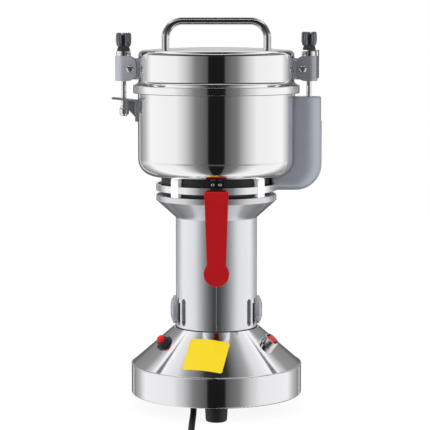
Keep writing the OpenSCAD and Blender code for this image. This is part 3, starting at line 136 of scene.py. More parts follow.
@dataclass(frozen=True)
class Metal:
    """A bare metal finish whose fine marks come from how it was worked.

    Attributes:
        name: Name of the material, for the real metal and its surface.
        colour: Hex colour of the metal.
        roughness: Roughness of the surface between its marks.
        grain: Direction of the marks.
        mark_mm: Distance between marks, drawn as coarse as the render needs.
        depth: Strength of the marks' relief.
        vary: Change of roughness along the marks.
        bare: Share of the surface that mirrors as metal; the rest scatters light as a rough skin does.
        edge_mm: Radius that the shading gives to sharp edges, or zero on a piece that has none.
    """

    name: str
    colour: str
    roughness: float
    grain: Grain = Grain.NONE
    mark_mm: float = 0.6
    depth: float = 0.04
    vary: float = 0.05
    bare: float = 1.0
    edge_mm: float = 0.35

    def build(self) -> bpy.types.Material:
        """Make the material."""
        material, tree, shader = new_material(self.name)
        shader.inputs["Base Color"].default_value = linear(self.colour)
        shader.inputs["Metallic"].default_value = self.bare
        place = add_node(tree, "ShaderNodeTexCoord")
        fine, coarse = 1 / (self.mark_mm * MM), ALONG_GRAIN
        stretch = {Grain.ROUND: (coarse, coarse, fine), Grain.UPRIGHT: (fine, fine, coarse),
                   Grain.NONE: (fine, fine, fine)}[self.grain]
        scaled = add_node(tree, "ShaderNodeMapping", None,
                          {"Vector": place.outputs["Object"], "Scale": stretch})
        marks = add_node(tree, "ShaderNodeTexNoise", None,
                         {"Vector": scaled.outputs["Vector"], "Scale": 1.0, "Detail": 3.0})
        spread = add_node(tree, "ShaderNodeMapRange", None, {
            "Value": marks.outputs["Fac"], "From Min": 0.3, "From Max": 0.7,
            "To Min": max(0.0, self.roughness - self.vary), "To Max": self.roughness + self.vary})
        tree.links.new(spread.outputs["Result"], shader.inputs["Roughness"])
        relief = add_node(tree, "ShaderNodeBump", None, {
            "Strength": self.depth, "Distance": RELIEF, "Height": marks.outputs["Fac"]})
        if self.edge_mm > 0:
            edge = add_node(tree, "ShaderNodeBevel", {"samples": 4}, {"Radius": self.edge_mm * MM})
            tree.links.new(edge.outputs["Normal"], relief.inputs["Normal"])
        tree.links.new(relief.outputs["Normal"], shader.inputs["Normal"])
        return material


@dataclass(frozen=True)
class Coating:
    """A painted, moulded or rubber surface with a fine skin.

    Attributes:
        name: Name of the material, for the real stuff and its surface.
        colour: Hex colour of the stuff.
        dark: Hex colour of its darker patches.
        roughness: Roughness of the surface.
        grain_mm: Size of the skin's grain.
        depth: Strength of the grain's relief.
        coat: Weight of a clear coat.
        sheen: Weight of a soft sheen.
        edge_mm: Radius that the shading gives to sharp edges.
        gloss: Level of the plain highlight.
        painted_edge_highlight: Hex colour of a painted highlight that pales the edges, or nothing.
    """

    name: str
    colour: str
    dark: str
    roughness: float
    grain_mm: float = 0.5
    depth: float = 0.1
    coat: float = 0.0
    sheen: float = 0.0
    edge_mm: float = 0.4
    gloss: float = 0.5
    painted_edge_highlight: str = ""

    def build(self) -> bpy.types.Material:
        """Make the material."""
        material, tree, shader = new_material(self.name)
        place = add_node(tree, "ShaderNodeTexCoord")
        patches = add_node(tree, "ShaderNodeTexNoise", None,
                           {"Vector": place.outputs["Object"], "Scale": PATCHES, "Detail": 4.0})
        tint = add_node(tree, "ShaderNodeMix", {"data_type": "RGBA"}, {
            0: patches.outputs["Fac"], 6: linear(self.dark), 7: linear(self.colour)})
        edge = add_node(tree, "ShaderNodeBevel", {"samples": 6}, {"Radius": self.edge_mm * MM})
        colour = tint.outputs[2]
        # Painted highlight: where the rounded edge shading leans away from the true normal, the colour pales
        # towards this tone
        if self.painted_edge_highlight:
            true = add_node(tree, "ShaderNodeNewGeometry")
            lean = add_node(tree, "ShaderNodeVectorMath", {"operation": "DOT_PRODUCT"},
                            {0: edge.outputs["Normal"], 1: true.outputs["Normal"]})
            edge_share = add_node(tree, "ShaderNodeMapRange", None, {
                "Value": lean.outputs["Value"], "From Min": 0.995, "From Max": 0.86,
                "To Min": 0.0, "To Max": 0.85})
            lit_edge_colour = add_node(tree, "ShaderNodeMix", {"data_type": "RGBA"},
                             {0: edge_share.outputs["Result"], 6: colour, 7: linear(self.painted_edge_highlight)})
            colour = lit_edge_colour.outputs[2]
        tree.links.new(colour, shader.inputs["Base Color"])
        skin = add_node(tree, "ShaderNodeTexNoise", None, {
            "Vector": place.outputs["Object"], "Scale": 1 / (self.grain_mm * MM), "Detail": 2.0})
        relief = add_node(tree, "ShaderNodeBump", None, {
            "Strength": self.depth, "Distance": RELIEF, "Height": skin.outputs["Fac"],
            "Normal": edge.outputs["Normal"]})
        tree.links.new(relief.outputs["Normal"], shader.inputs["Normal"])
        shader.inputs["Roughness"].default_value = self.roughness
        shader.inputs["Specular IOR Level"].default_value = self.gloss
        if self.coat:
            shader.inputs["Coat Weight"].default_value = self.coat
            shader.inputs["Coat Roughness"].default_value = 0.08
        if self.sheen:
            shader.inputs["Sheen Weight"].default_value = self.sheen
        return material


# Stainless sheet buffed to a mirror: the room shows sharply, with hardly a mark
MIRROR_STEEL = Metal("mirror_polished_stainless_steel", "#fafafb", 0.05, Grain.ROUND, 1.2, 0.006, 0.015)
# Bent round bar, polished by hand: the room's edges are a little softer
POLISHED_BAR = Metal("polished_stainless_bar", "#e6e6e8", 0.16, Grain.NONE, 4.0, 0.0, 0.0, 1.0, 0.0)
# Stainless sheet polished less far: the room's edges blur by a few degrees
SATIN_STEEL = Metal("satin_polished_stainless_steel", "#f3f3f5", 0.065, Grain.ROUND, 0.7, 0.006, 0.015)
# Brushed stainless tube: upright light runs softly from bright sides to a grey middle
BRUSHED_STEEL = Metal("brushed_stainless_steel", "#f2f4f8", 0.24, Grain.UPRIGHT, 0.4, 0.012, 0.03)
# Brushed funnel above it, greyer because it leans to the dark ceiling
FUNNEL_STEEL = Metal("brushed_spun_steel", "#e4e5e8", 0.22, Grain.ROUND, 0.4, 0.02, 0.03)
# Pressed strip, bead blasted: flat blue grey with pale bends
PRESSED_STEEL = Metal("bead_blasted_steel_strip", "#bfc2c9", 0.42, Grain.NONE, 0.5, 0.03, 0.04, 0.6, 1.2)
# Pressed strip like the left clamp's, its colour painted darker as shade: the right clamp block stands in
# shade; the bowl's lugs take it too
SHADED_STRIP = Metal("pressed_steel_painted_shade", "#a4a7ad", 0.36, Grain.NONE, 0.5, 0.03, 0.04, 0.72, 1.2)
# Nickel plated hardware: small bright glints
NICKEL = Metal("nickel_plated_steel", "#f0f0f0", 0.14, Grain.ROUND, 0.4, 0.01, 0.03)
# Ground blade steel: fine straight grinding marks
BLADE_STEEL = Metal("ground_blade_steel", "#c6c9cc", 0.22, Grain.ROUND, 0.3, 0.08, 0.06)
# Sand cast aluminium: a grainy dull skin
CAST_ALUMINIUM = Metal("sand_cast_aluminium", "#a9abae", 0.5, Grain.NONE, 0.8, 0.3, 0.08)
# Enamelled copper: orange brown with a lacquer's gloss
COPPER_WIRE = Metal("enamelled_copper", "#b36a3c", 0.28, Grain.ROUND, 0.6, 0.2, 0.05)
# Stacked sheets with dark joints
LAMINATIONS = Metal("stacked_electrical_steel", "#6d7075", 0.45, Grain.ROUND, 0.5, 0.3, 0.08)
# Grey powder coat with metal flakes, stoved on steel: a soft shine and a faint orange peel
GREY_PAINT = Metal("grey_metallic_powder_coat", "#a3a8b1", 0.3, Grain.NONE, 1.1, 0.04, 0.03, 0.5, 5.0)
# Satin black paint under the bowl
BLACK_PAINT = Coating("black_stoved_paint", "#1f2022", "#18191b", 0.45, 0.9, 0.15)
# Dark grey paint on the plate nobody sees from the front
PLATE_PAINT = Coating("grey_primer", "#5d5f63", "#55575b", 0.55, 0.9, 0.15)
# Red enamel on the lever: even, with a painted highlight that pales its rounded edges
RED_ENAMEL = Coating("red_stoved_enamel", "#99070e", "#90060c", 0.42, 1.4, 0.03, 0.0, 0.0, 1.4, 0.12,
                     "#cf2e2a")
# Glossy red ABS of button and rocker
RED_ABS = Coating("glossy_red_abs", "#d8181a", "#cc1316", 0.2, 1.5, 0.03, 0.15, 0.0, 0.5, 0.35)
# Black ABS with a moulded skin
BLACK_ABS = Coating("black_moulded_abs", "#2b2c30", "#232427", 0.4, 0.6, 0.14)
# Phenolic of the knobs, polished by hands: pale glints on the fingers, dark gaps between
KNOB_PHENOLIC = Coating("black_phenolic", "#4d4f54", "#34353a", 0.16, 0.9, 0.04, 1.0, 0.0, 0.4, 0.9)
# Rubber of the feet: matt and sooty
FOOT_RUBBER = Coating("black_moulded_rubber", "#17181a", "#111214", 0.55, 0.8, 0.2)
# Cord jacket of soft PVC: slightly shiny
CORD_PVC = Coating("black_pvc_jacket", "#1d1e21", "#17181a", 0.42, 1.0, 0.08)
# Pressed carbon of the brushes
CARBON = Coating("pressed_carbon", "#2a2a2b", "#202021", 0.5, 0.3, 0.2)
# Food grade silicone: milky and soft
SILICONE = Coating("milky_silicone", "#bdb7ad", "#b3ada3", 0.5, 0.9, 0.06)
# White moulded plastic of the posts that stand between the plates
WHITE_PLASTIC = Coating("white_moulded_nylon", "#ffffff", "#fafafa", 0.45, 0.8, 0.05)
# Yellow vinyl of the bare sticker
YELLOW_VINYL = Coating("yellow_vinyl_film", "#e3c81c", "#dcc018", 0.4, 1.2, 0.03, 0.05, 0.0, 0.2, 0.3)
# Paper based plastic of the brush holders and of the screens behind the slots
GREY_LAMINATE = Coating("grey_paper_laminate", "#7c7f85", "#6f7278", 0.5, 0.8, 0.1)
# Painted shade: a dark line that stands for the shade in the fold under the lid's lip and at the column's
# foot
FOLD_SHADOW = Coating("painted_shade_in_fold", "#3a3b40", "#2c2d31", 0.6, 0.5, 0.1)

NODE_FINISHES: dict[Metal | Coating, tuple[str, ...]] = {
    MIRROR_STEEL: ("bowl", "lid_shell"),
    POLISHED_BAR: ("lid_handle",),
    SATIN_STEEL: ("base_shell", "vent_ring", "tilt_hinge_base", "tilt_hinge_head"),
    BRUSHED_STEEL: ("motor_column",),
    FUNNEL_STEEL: ("column_funnel",),
    PRESSED_STEEL: ("clamp_block_left", "lid_ears", "brush_caps"),
    # Painted shade: the right clamp block gets a darker copy of the left one's finish
    SHADED_STRIP: ("clamp_block_right", "bowl_lugs"),
    NICKEL: ("base_screws", "hinge_pin", "pivot_screws", "handle_nuts", "clamp_rod_left",
             "clamp_rod_right", "blade_nut_stack", "switch_bezel", "thrust_collar_left",
             "thrust_collar_right", "motor_bearings", "blade_bearing"),
    BLADE_STEEL: ("grinding_blades", "blade_shaft", "motor_shaft"),
    CAST_ALUMINIUM: ("motor_brackets",),
    COPPER_WIRE: ("field_coils", "armature_core", "commutator"),
    LAMINATIONS: ("stator_core",),
    GREY_PAINT: ("interlock_housing",),
    BLACK_PAINT: ("head_plate", "bearing_housing", "lever_hinge"),
    PLATE_PAINT: ("base_plate",),
    RED_ENAMEL: ("red_lever",),
    RED_ABS: ("reset_button", "switch_rocker"),
    GREY_LAMINATE: ("brush_holders",),
    BLACK_ABS: ("brush_cap_plugs", "reset_breaker", "cooling_fan", "interlock_switch",
                "cord_gland", "cord_plug", "coupling_lower", "coupling_upper"),
    KNOB_PHENOLIC: ("clamp_knob_left", "clamp_knob_right"),
    FOOT_RUBBER: ("rubber_feet",),
    CORD_PVC: ("cord_run", "cord_coil"),
    CARBON: ("carbon_brushes",),
    SILICONE: ("lid_gasket", "shaft_seal"),
    WHITE_PLASTIC: ("collar_posts",),
}

# Radius and height of the column's foot, and half width and half height of the painted shade line there
COLUMN_FOOT: Point2 = (48.9, 98.5)
FOOT_LINE: Point2 = (0.5, 0.45)

_made: dict[str, bpy.types.Material] = {}


def finish_of(finish: Metal | Coating) -> bpy.types.Material:
    """Give the material of a finish, made once."""
    if finish.name not in _made:
        _made[finish.name] = finish.build()
    return _made[finish.name]


def linked(name: str, bm: bmesh.types.BMesh) -> bpy.types.Object:
    """Put a bmesh in millimetres in the scene as an object, and free it."""
    bmesh.ops.scale(bm, vec=(MM, MM, MM), verts=bm.verts)
    mesh = bpy.data.meshes.new(name)
    bm.to_mesh(mesh)
    bm.free()
    obj = bpy.data.objects.new(name, mesh)
    bpy.context.scene.collection.objects.link(obj)
    return obj


def skin(bm: bmesh.types.BMesh, rows: Sequence[Sequence[bmesh.types.BMVert]], closed: bool = True) -> None:
    """Join neighbouring rows of points with faces.

    Args:
        bm: The mesh that the points are in.
        rows: The rows, all of one length.
        closed: Whether a row runs round to its own start.
    """
    for low, high in zip(rows, rows[1:]):
        count = len(low)
        for k in range(count if closed else count - 1):
            n = (k + 1) % count
            bm.faces.new((low[k], low[n], high[n], high[k]))


def object_from(name: str, bm: bmesh.types.BMesh, finish: Metal | Coating,
                crease: float = 35.0) -> bpy.types.Object:
    """Turn a bmesh in millimetres to an object with smooth shading.

    Args:
        name: The object's name.
        bm: The mesh, in millimetres, freed here.
        finish: What it is finished with.
        crease: Angle in degrees above which an edge stays sharp.

    Returns:
        The new object, linked to the scene.
    """
    bmesh.ops.remove_doubles(bm, verts=bm.verts, dist=0.0005)
    bmesh.ops.recalc_face_normals(bm, faces=bm.faces)
    obj = linked(name, bm)
    obj.data.shade_smooth()
    obj.data.set_sharp_from_angle(angle=math.radians(crease))
    obj.data.materials.append(finish_of(finish))
    return obj


def rounded(corners: Sequence[tuple[float, float, float]], steps: int = 8) -> list[Point2]:
    """Round the corners of a closed outline.

    Args:
        corners: Each corner's two coordinates and its radius.
        steps: Number of pieces in each arc.

    Returns:
        The outline's points.
    """
    points: list[Point2] = []
    count = len(corners)
    for i, (x, y, radius) in enumerate(corners):
        here = Vector((x, y))
        before = Vector(corners[i - 1][:2]) - here
        after = Vector(corners[(i + 1) % count][:2]) - here
        if radius <= 0 or before.length == 0 or after.length == 0:
            points.append((x, y))
            continue
        bend = before.angle(after)
        cut = radius / math.tan(bend / 2)
        start, stop = here + before.normalized() * cut, here + after.normalized() * cut
        inward = (before.normalized() + after.normalized()).normalized()
        middle = here + inward * (radius / math.sin(bend / 2))
        a0 = math.atan2(start.y - middle.y, start.x - middle.x)
        a1 = math.atan2(stop.y - middle.y, stop.x - middle.x)
        sweep = (a1 - a0 + math.pi) % FULL_TURN - math.pi
        points += [(middle.x + radius * math.cos(a0 + sweep * k / steps),
                    middle.y + radius * math.sin(a0 + sweep * k / steps)) for k in range(steps + 1)]
    return points


def turned(profile: Sequence[Point2], sides: int = 192) -> bmesh.types.BMesh:
    """Turn a closed outline about the vertical axis.

    Args:
        profile: Radius and height of each point, in order round the outline.
        sides: Number of steps round the axis.

    Returns:
        The mesh, in millimetres.
    """
    bm = bmesh.new()
    rings = []
    for radius, height in profile:
        if radius < 1e-6:
            rings.append([bm.verts.new((0, 0, height))])
        else:
            rings.append([bm.verts.new((radius * math.sin(FULL_TURN * k / sides),
                                        -radius * math.cos(FULL_TURN * k / sides), height))
                          for k in range(sides)])
    for low, high in zip(rings, rings[1:] + rings[:1]):
        if len(low) == 1 and len(high) == 1:
            continue
        for k in range(sides):
            n = (k + 1) % sides
            if len(low) == 1:
                bm.faces.new((low[0], high[n], high[k]))
            elif len(high) == 1:
                bm.faces.new((low[k], low[n], high[0]))
            else:
                bm.faces.new((low[k], low[n], high[n], high[k]))
    return bm


def swept(path: Sequence[Vector], radius: float | Callable[[float], float],
          sides: int = 16) -> bmesh.types.BMesh:
    """Sweep a round section along a path.

    Args:
        path: Points of the centre line, in millimetres.
        radius: The section's radius, or its radius against the share of the path.
        sides: Number of sides of the section.

    Returns:
        The mesh, in millimetres, closed at both ends.
    """
    bm = bmesh.new()
    rings = []
    side = None
    for i, here in enumerate(path):
        ahead = (path[min(i + 1, len(path) - 1)] - path[max(i - 1, 0)]).normalized()
        if side is None:
            side = ahead.cross(Vector((0, 0, 1)))
            if side.length < 1e-3:
                side = ahead.cross(Vector((0, 1, 0)))
        side = (side - ahead * side.dot(ahead)).normalized()
        up = side.cross(ahead)
        r = radius(i / (len(path) - 1)) if callable(radius) else radius
        rings.append([bm.verts.new(here + r * (math.cos(FULL_TURN * k / sides) * side
                                               + math.sin(FULL_TURN * k / sides) * up))
                      for k in range(sides)])
    skin(bm, rings)
    bm.faces.new(rings[0][::-1])
    bm.faces.new(rings[-1])
    return bm


def greys(*stops: tuple[float, int]) -> Tones:
    """Write a card's stops out as tones.

    Args:
        stops: Place and grey in percent of each stop.

    Returns:
        The same places, with the greys as colours.
    """
    return tuple((place, "#" + f"{round(2.55 * percent):02x}" * 3) for place, percent in stops)


def both_sides(*stops: tuple[float, int]) -> Tones:
    """Repeat the stops of a card's right half on its left.

    Args:
        stops: Heading and grey in percent of each stop, outwards from behind the camera.

    Returns:
        Heading and tone of each stop, from left to right.
    """
    right = greys(*stops)
    return tuple((-place, tone) for place, tone in reversed(right)) + right


# The light set-up: heading in degrees and grey in percent. Zero is behind the camera and 180 is behind
# the mill. A black flag hangs behind the camera, grey cloth falls off on each side of it to white boards,
# and the back of the room is darker. The column stands in front of grey cloth without the flag.
ROOM_TONES = both_sides(
    (11, 10), (13, 35), (30, 50), (45, 80), (60, 95), (110, 98), (125, 75), (150, 45))
COLUMN_TONES = both_sides((5, 30), (20, 38), (45, 65), (65, 90), (110, 97), (150, 55))
# The dark gap between the cards and the ceiling, which draws the dark lines along the folds
GAP_TONES = both_sides((5, 15), (50, 25), (90, 50), (150, 45))
# One half of the rear card, below and above the height of the lid
REAR_LOW_TONES = greys((148, 100), (156, 45), (180, 35))
REAR_TOP_TONES = greys((124, 100), (136, 60), (165, 50), (173, 75), (180, 80))
# The banner overhead: distance from its middle in millimetres and grey
BANNER_TONES = greys((0, 15), (350, 20), (600, 45), (1000, 65), (1300, 90), (1900, 100))


@dataclass
class Studio:
    """Camera, white floor and the cards that the polished steel mirrors.

    Attributes:
        eye: Where the camera stands, in millimetres.
        aim: What it points at.
        lens_mm: Focal length for the sensor.
        sensor_mm: Width of the sensor.
        card_radius: Distance of the tall cards from the axis.
        card_reach: Heading in degrees at which the tall cards end, on both sides.
        card_edges: Heights where the lid's, bowl's, column's and band's cards end, from the top down.
        gap_reach: Heading at which the gap below the ceiling ends.
        gap_lean: How far the gap leans in on its way up.
        ceiling: Height of the banner overhead.
        banner_half: Half width of the banner.
        banner_y: Its edges towards the camera and behind the mill.
        rear_inset: How far the rear card stands in front of the others.
        rear_edges: Heights where the rear card's tones start, change and end.
        floor_half: Half width of the floor.
        floor_glow: Share of plain white in what the camera sees of the floor.
        lamp_rows: Each lamp's name, place and power in watts.
        lamp_aim: What the lamps point at.
        lamp_width: Width of a lamp.
    """

    eye: Point3 = (0.0, -2090.0, 460.0)
    aim: Point3 = (-1.66, 0.0, 231.7)
    lens_mm: float = 147.3
    sensor_mm: float = 36.0
    card_radius: float = 2600.0
    card_reach: float = 150.0
    card_edges: tuple[float, ...] = (900.0, 285.0, -30.0, -400.0, -1500.0)
    gap_reach: float = 124.0
    gap_lean: float = 400.0
    ceiling: float = 2500.0
    banner_half: float = 1900.0
    banner_y: Point2 = (-1500.0, 900.0)
    rear_inset: float = 50.0
    rear_edges: Point3 = (-1500.0, 450.0, 2300.0)
    floor_half: float = 6000.0
    floor_glow: float = 0.9
    lamp_rows: tuple[tuple[str, Point3, float], ...] = (
        ("left_box", (-1900.0, -1600.0, 1500.0), 30.0), ("right_box", (1900.0, -1600.0, 1500.0), 27.0))
    lamp_aim: Point3 = (0.0, 0.0, 250.0)
    lamp_width: float = 1600.0

    def camera(self) -> None:
        """Set the camera at the photograph's angle."""
        data = bpy.data.cameras.new("camera")
        data.lens, data.sensor_width = self.lens_mm, self.sensor_mm
        data.clip_start, data.clip_end = 0.05, 50.0
        camera = bpy.data.objects.new("camera", data)
        camera.location = Vector(self.eye) * MM
        camera.rotation_euler = (Vector(self.aim) - Vector(self.eye)).to_track_quat("-Z", "Y").to_euler()
        bpy.context.scene.collection.objects.link(camera)
        bpy.context.scene.camera = camera

    def world(self) -> None:
        """Make the white surroundings."""
        world = bpy.data.worlds.new("white_room")
        world.use_nodes = True
        tree = world.node_tree
        tree.nodes.clear()
        ray = add_node(tree, "ShaderNodeLightPath")
        seen = add_node(tree, "ShaderNodeMath", {"operation": "MAXIMUM"},
                        {0: ray.outputs["Is Camera Ray"], 1: ray.outputs["Is Glossy Ray"]})
        seen = add_node(tree, "ShaderNodeMath", {"operation": "MAXIMUM"},
                        {0: seen.outputs[0], 1: ray.outputs["Is Transmission Ray"]})
        strength = add_node(tree, "ShaderNodeMapRange", None,
                            {"Value": seen.outputs[0], "To Min": 0.85, "To Max": 1.0})
        back = add_node(tree, "ShaderNodeBackground", None,
                        {"Color": (1, 1, 1, 1), "Strength": strength.outputs["Result"]})
        add_node(tree, "ShaderNodeOutputWorld", None, {"Surface": back.outputs["Background"]})
        bpy.context.scene.world = world

    def glow(self, name: str, stops: Tones, half: float | None = None) -> bpy.types.Material:
        """Make a glowing card's material, its tones along the heading or across the card.

        Args:
            name: The material's name.
            stops: Place from 0 to 1 and tone of each stop.
            half: Half width of a flat card, or nothing for a card round the axis.

        Returns:
            The material.
        """
        material = bpy.data.materials.new(name)
        material.use_nodes = True
        tree = material.node_tree
        tree.nodes.clear()
        place = add_node(tree, "ShaderNodeTexCoord")
        parts = add_node(tree, "ShaderNodeSeparateXYZ", None, {0: place.outputs["Object"]})
        if half is None:
            reach = math.pi
            value = add_node(tree, "ShaderNodeMath", {"operation": "ARCTAN2"},
                             {0: parts.outputs["X"], 1: parts.outputs["Y"]}).outputs[0]
        else:
            reach = half * MM
            value = parts.outputs["X"]
        share = add_node(tree, "ShaderNodeMapRange", None, {
            "Value": value, "From Min": -reach, "From Max": reach})
        ramp = add_node(tree, "ShaderNodeValToRGB", None, {0: share.outputs["Result"]})
        paint_ramp(ramp.color_ramp, stops)
        light = add_node(tree, "ShaderNodeEmission", None, {"Color": ramp.outputs["Color"]})
        add_node(tree, "ShaderNodeOutputMaterial", None, {"Surface": light.outputs[0]})
        return material

    def hang(self, name: str, bm: bmesh.types.BMesh, stops: Tones,
             half: float | None = None) -> bpy.types.Object:
        """Hang a card that only reflections see, with its tones as glow takes them."""
        card = linked(name, bm)
        card.data.materials.append(self.glow(name, stops, half))
        card.visible_camera = False
        card.visible_diffuse = False
        card.visible_shadow = False
        return card

    def hang_round(self, name: str, bm: bmesh.types.BMesh, tones: Tones) -> None:
        """Hang a card with tones against the heading.

        The card's own heading runs the other way from its Y axis, so the tones are listed backwards, and
        a half turn brings heading zero behind the camera.
        """
        stops = [((-heading + 180) / 360, tone) for heading, tone in reversed(tones)]
        self.hang(name, bm, stops).rotation_euler = (0, 0, math.pi)

    def card(self, name: str, low: Point2, high: Point2, start: float, stop: float, tones: Tones) -> None:
        """Stand a card round the axis.

        Args:
            name: The card's name.
            low: Radius and height of its lower edge.
            high: Radius and height of its upper edge.
            start: Heading of its left edge.
            stop: Heading of its right edge.
            tones: Heading and tone of each stop, from left to right.
        """
        bm = bmesh.new()
        steps = 64
        turns = [math.radians(start + (stop - start) * k / steps) for k in range(steps + 1)]
        skin(bm, [[bm.verts.new((-r * math.sin(a), r * math.cos(a), z)) for r, z in (low, high)]
                  for a in turns], closed=False)
        self.hang_round(name, bm, tones)

    def overhead(self) -> None:
        """Hang a long banner above the mill, dark in the middle, from the camera to behind it."""
        bm = bmesh.new()
        half, steps = self.banner_half, 24
        skin(bm, [[bm.verts.new((half * (2 * k / steps - 1), y, self.ceiling)) for y in self.banner_y]
                  for k in range(steps + 1)], closed=False)
        tones = [(0.5 - x / (2 * half), tone) for x, tone in reversed(BANNER_TONES[1:])]
        tones += [(0.5 + x / (2 * half), tone) for x, tone in BANNER_TONES]
        self.hang("overhead_banner", bm, tones, half)

    def under(self) -> None:
        """Lay a wide disc far below, so that what faces down mirrors the same tones as the bowl's wall."""
        bm = bmesh.new()
        bmesh.ops.create_circle(bm, cap_ends=True, segments=96, radius=self.card_radius)
        bmesh.ops.translate(bm, vec=(0, 0, self.card_edges[-1]), verts=bm.verts)
        self.hang_round("under_card", bm, ROOM_TONES)

    def floor(self) -> None:
        """Lay the white floor."""
        mesh = bpy.data.meshes.new("floor")
        half = self.floor_half * MM
        mesh.from_pydata([(-half, -half, 0), (half, -half, 0), (half, half, 0), (-half, half, 0)], [],
                         [(0, 1, 2, 3)])
        material = bpy.data.materials.new("white_paper")
        material.use_nodes = True
        tree = material.node_tree
        tree.nodes.clear()
        place = add_node(tree, "ShaderNodeTexCoord")
        fibres = add_node(tree, "ShaderNodeTexNoise", None,
                          {"Vector": place.outputs["Object"], "Scale": 900.0})
        tone = add_node(tree, "ShaderNodeMix", {"data_type": "RGBA"}, {
            0: fibres.outputs["Fac"], 6: linear("#fbfbfb"), 7: linear("#ffffff")})
        paper = add_node(tree, "ShaderNodeBsdfDiffuse", None, {"Color": tone.outputs[2]})
        bright = add_node(tree, "ShaderNodeEmission", None, {"Color": (1, 1, 1, 1), "Strength": 1.02})
        ray = add_node(tree, "ShaderNodeLightPath")
        share = add_node(tree, "ShaderNodeMath", {"operation": "MULTIPLY"},
                         {0: ray.outputs["Is Camera Ray"], 1: self.floor_glow})
        both = add_node(tree, "ShaderNodeMixShader", None, {
            0: share.outputs[0], 1: paper.outputs[0], 2: bright.outputs[0]})
        add_node(tree, "ShaderNodeOutputMaterial", None, {"Surface": both.outputs[0]})
        mesh.materials.append(material)
        floor = bpy.data.objects.new("floor", mesh)
        bpy.context.scene.collection.objects.link(floor)
        floor.visible_glossy = False

    def lamps(self) -> None:
        """Light the painted pieces softly from both sides."""
        for name, place, energy in self.lamp_rows:
            data = bpy.data.lights.new(name, "AREA")
            data.energy, data.size = energy, self.lamp_width * MM
            lamp = bpy.data.objects.new(name, data)
            lamp.location = Vector(place) * MM
            lamp.rotation_euler = (Vector(self.lamp_aim) - Vector(place)).to_track_quat("-Z", "Y").to_euler()
            lamp.visible_glossy = False
            lamp.visible_camera = False
            bpy.context.scene.collection.objects.link(lamp)

    def build(self) -> None:
        """Set up everything that isn't the mill."""
        self.camera()
        self.world()
        self.floor()
        r, reach, edges = self.card_radius, self.card_reach, self.card_edges
        rows = {"lid": ROOM_TONES, "bowl": ROOM_TONES, "column": COLUMN_TONES, "band": ROOM_TONES}
        for (name, tones), low, high in zip(rows.items(), edges[1:], edges):
            self.card(f"{name}_card", (r, low), (r, high), -reach, reach, tones)
        self.under()
        self.card("ceiling_gap", (r, edges[0]), (r - self.gap_lean, self.ceiling), -self.gap_reach,
                  self.gap_reach, GAP_TONES)
        self.rear()
        self.overhead()
        self.lamps()

    def rear(self) -> None:
        """Stand the dark rear card in two halves, with a pale patch above the height of the lid."""
        r = self.card_radius - self.rear_inset
        halves = (("low", REAR_LOW_TONES), ("top", REAR_TOP_TONES))
        for (name, tones), base, height in zip(halves, self.rear_edges, self.rear_edges[1:]):
            start = tones[0][0]
            self.card(f"rear_{name}_right", (r, base), (r, height), start, 180, tones)
            self.card(f"rear_{name}_left", (r, base), (r, height), -180, -start,
                      [(-heading, tone) for heading, tone in reversed(tones)])


@dataclass
class LidShell:
    """The spun lid: domed top, straight wall, fold, flare and turned-down lip.

    Attributes:
        wall_r: Outer radius of the wall.
        lip_r: Outer radius of the lip.
        sheet: Thickness of the sheet.
        lip_z: Height of the lip's lower edge.
        knee_z: Height where the flare meets the lip.
        fold_z: Height where the flare meets the wall.
        shoulder_z: Height of the top's edge.
        rise: Rise of the dome above the shoulder.
        knee_r: Radius between lip and flare.
        fold_r: Radius between flare and wall.
        corner_r: Radius between wall and top.
        line: How far in from the lip's edge and how far below it the painted shade line lies.
        line_half: Half width and half height of the painted shade line.
    """

    wall_r: float = 92.25
    lip_r: float = 98.6
    sheet: float = 1.2
    lip_z: float = 378.0
    knee_z: float = 386.6
    fold_z: float = 389.9
    shoulder_z: float = 428.0
    rise: float = 3.5
    knee_r: float = 1.1
    fold_r: float = 4.6
    corner_r: float = 6.2
    line: Point2 = (0.9, 0.1)
    line_half: Point2 = (0.75, 0.5)

    def section(self, inset: float) -> list[Point2]:
        """Give one skin of the sheet, from the lip's edge to the middle of the top."""
        lip, wall, top = self.lip_r - inset, self.wall_r - inset, self.shoulder_z - inset
        edge_r = self.wall_r - self.corner_r
        inner_r, steps = edge_r - 20, 24
        # The last two points only close the outline for the rounding
        outline = rounded([(lip, self.lip_z, 0), (lip, self.knee_z - inset, self.knee_r),
                           (wall, self.fold_z - inset, self.fold_r), (wall, top, self.corner_r - inset),
                           (inner_r, top, 0), (inner_r, self.lip_z, 0)], 10)[:-2]
        shares = [1 - k / steps for k in range(1, steps + 1)]
        return outline + [(edge_r * u, top + self.rise * (1 - u ** 2)) for u in shares]

    def build(self) -> None:
        """Spin the lid, with a painted shade line under its lip."""
        inner = self.section(self.sheet)
        inner[0] = (self.lip_r - self.sheet, self.lip_z)
        lid = object_from("spun_lid", turned(self.section(0) + inner[::-1], 256), MIRROR_STEEL, 50)
        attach(lid, "lid")
        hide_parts("lid_shell")
        # Painted shade: a dark ring under the lip, where the lid meets the bowl
        painted_shade_ring("lid_lip_shade_line", "lid", self.lip_r - self.line[0], self.lip_z - self.line[1], self.line_half)


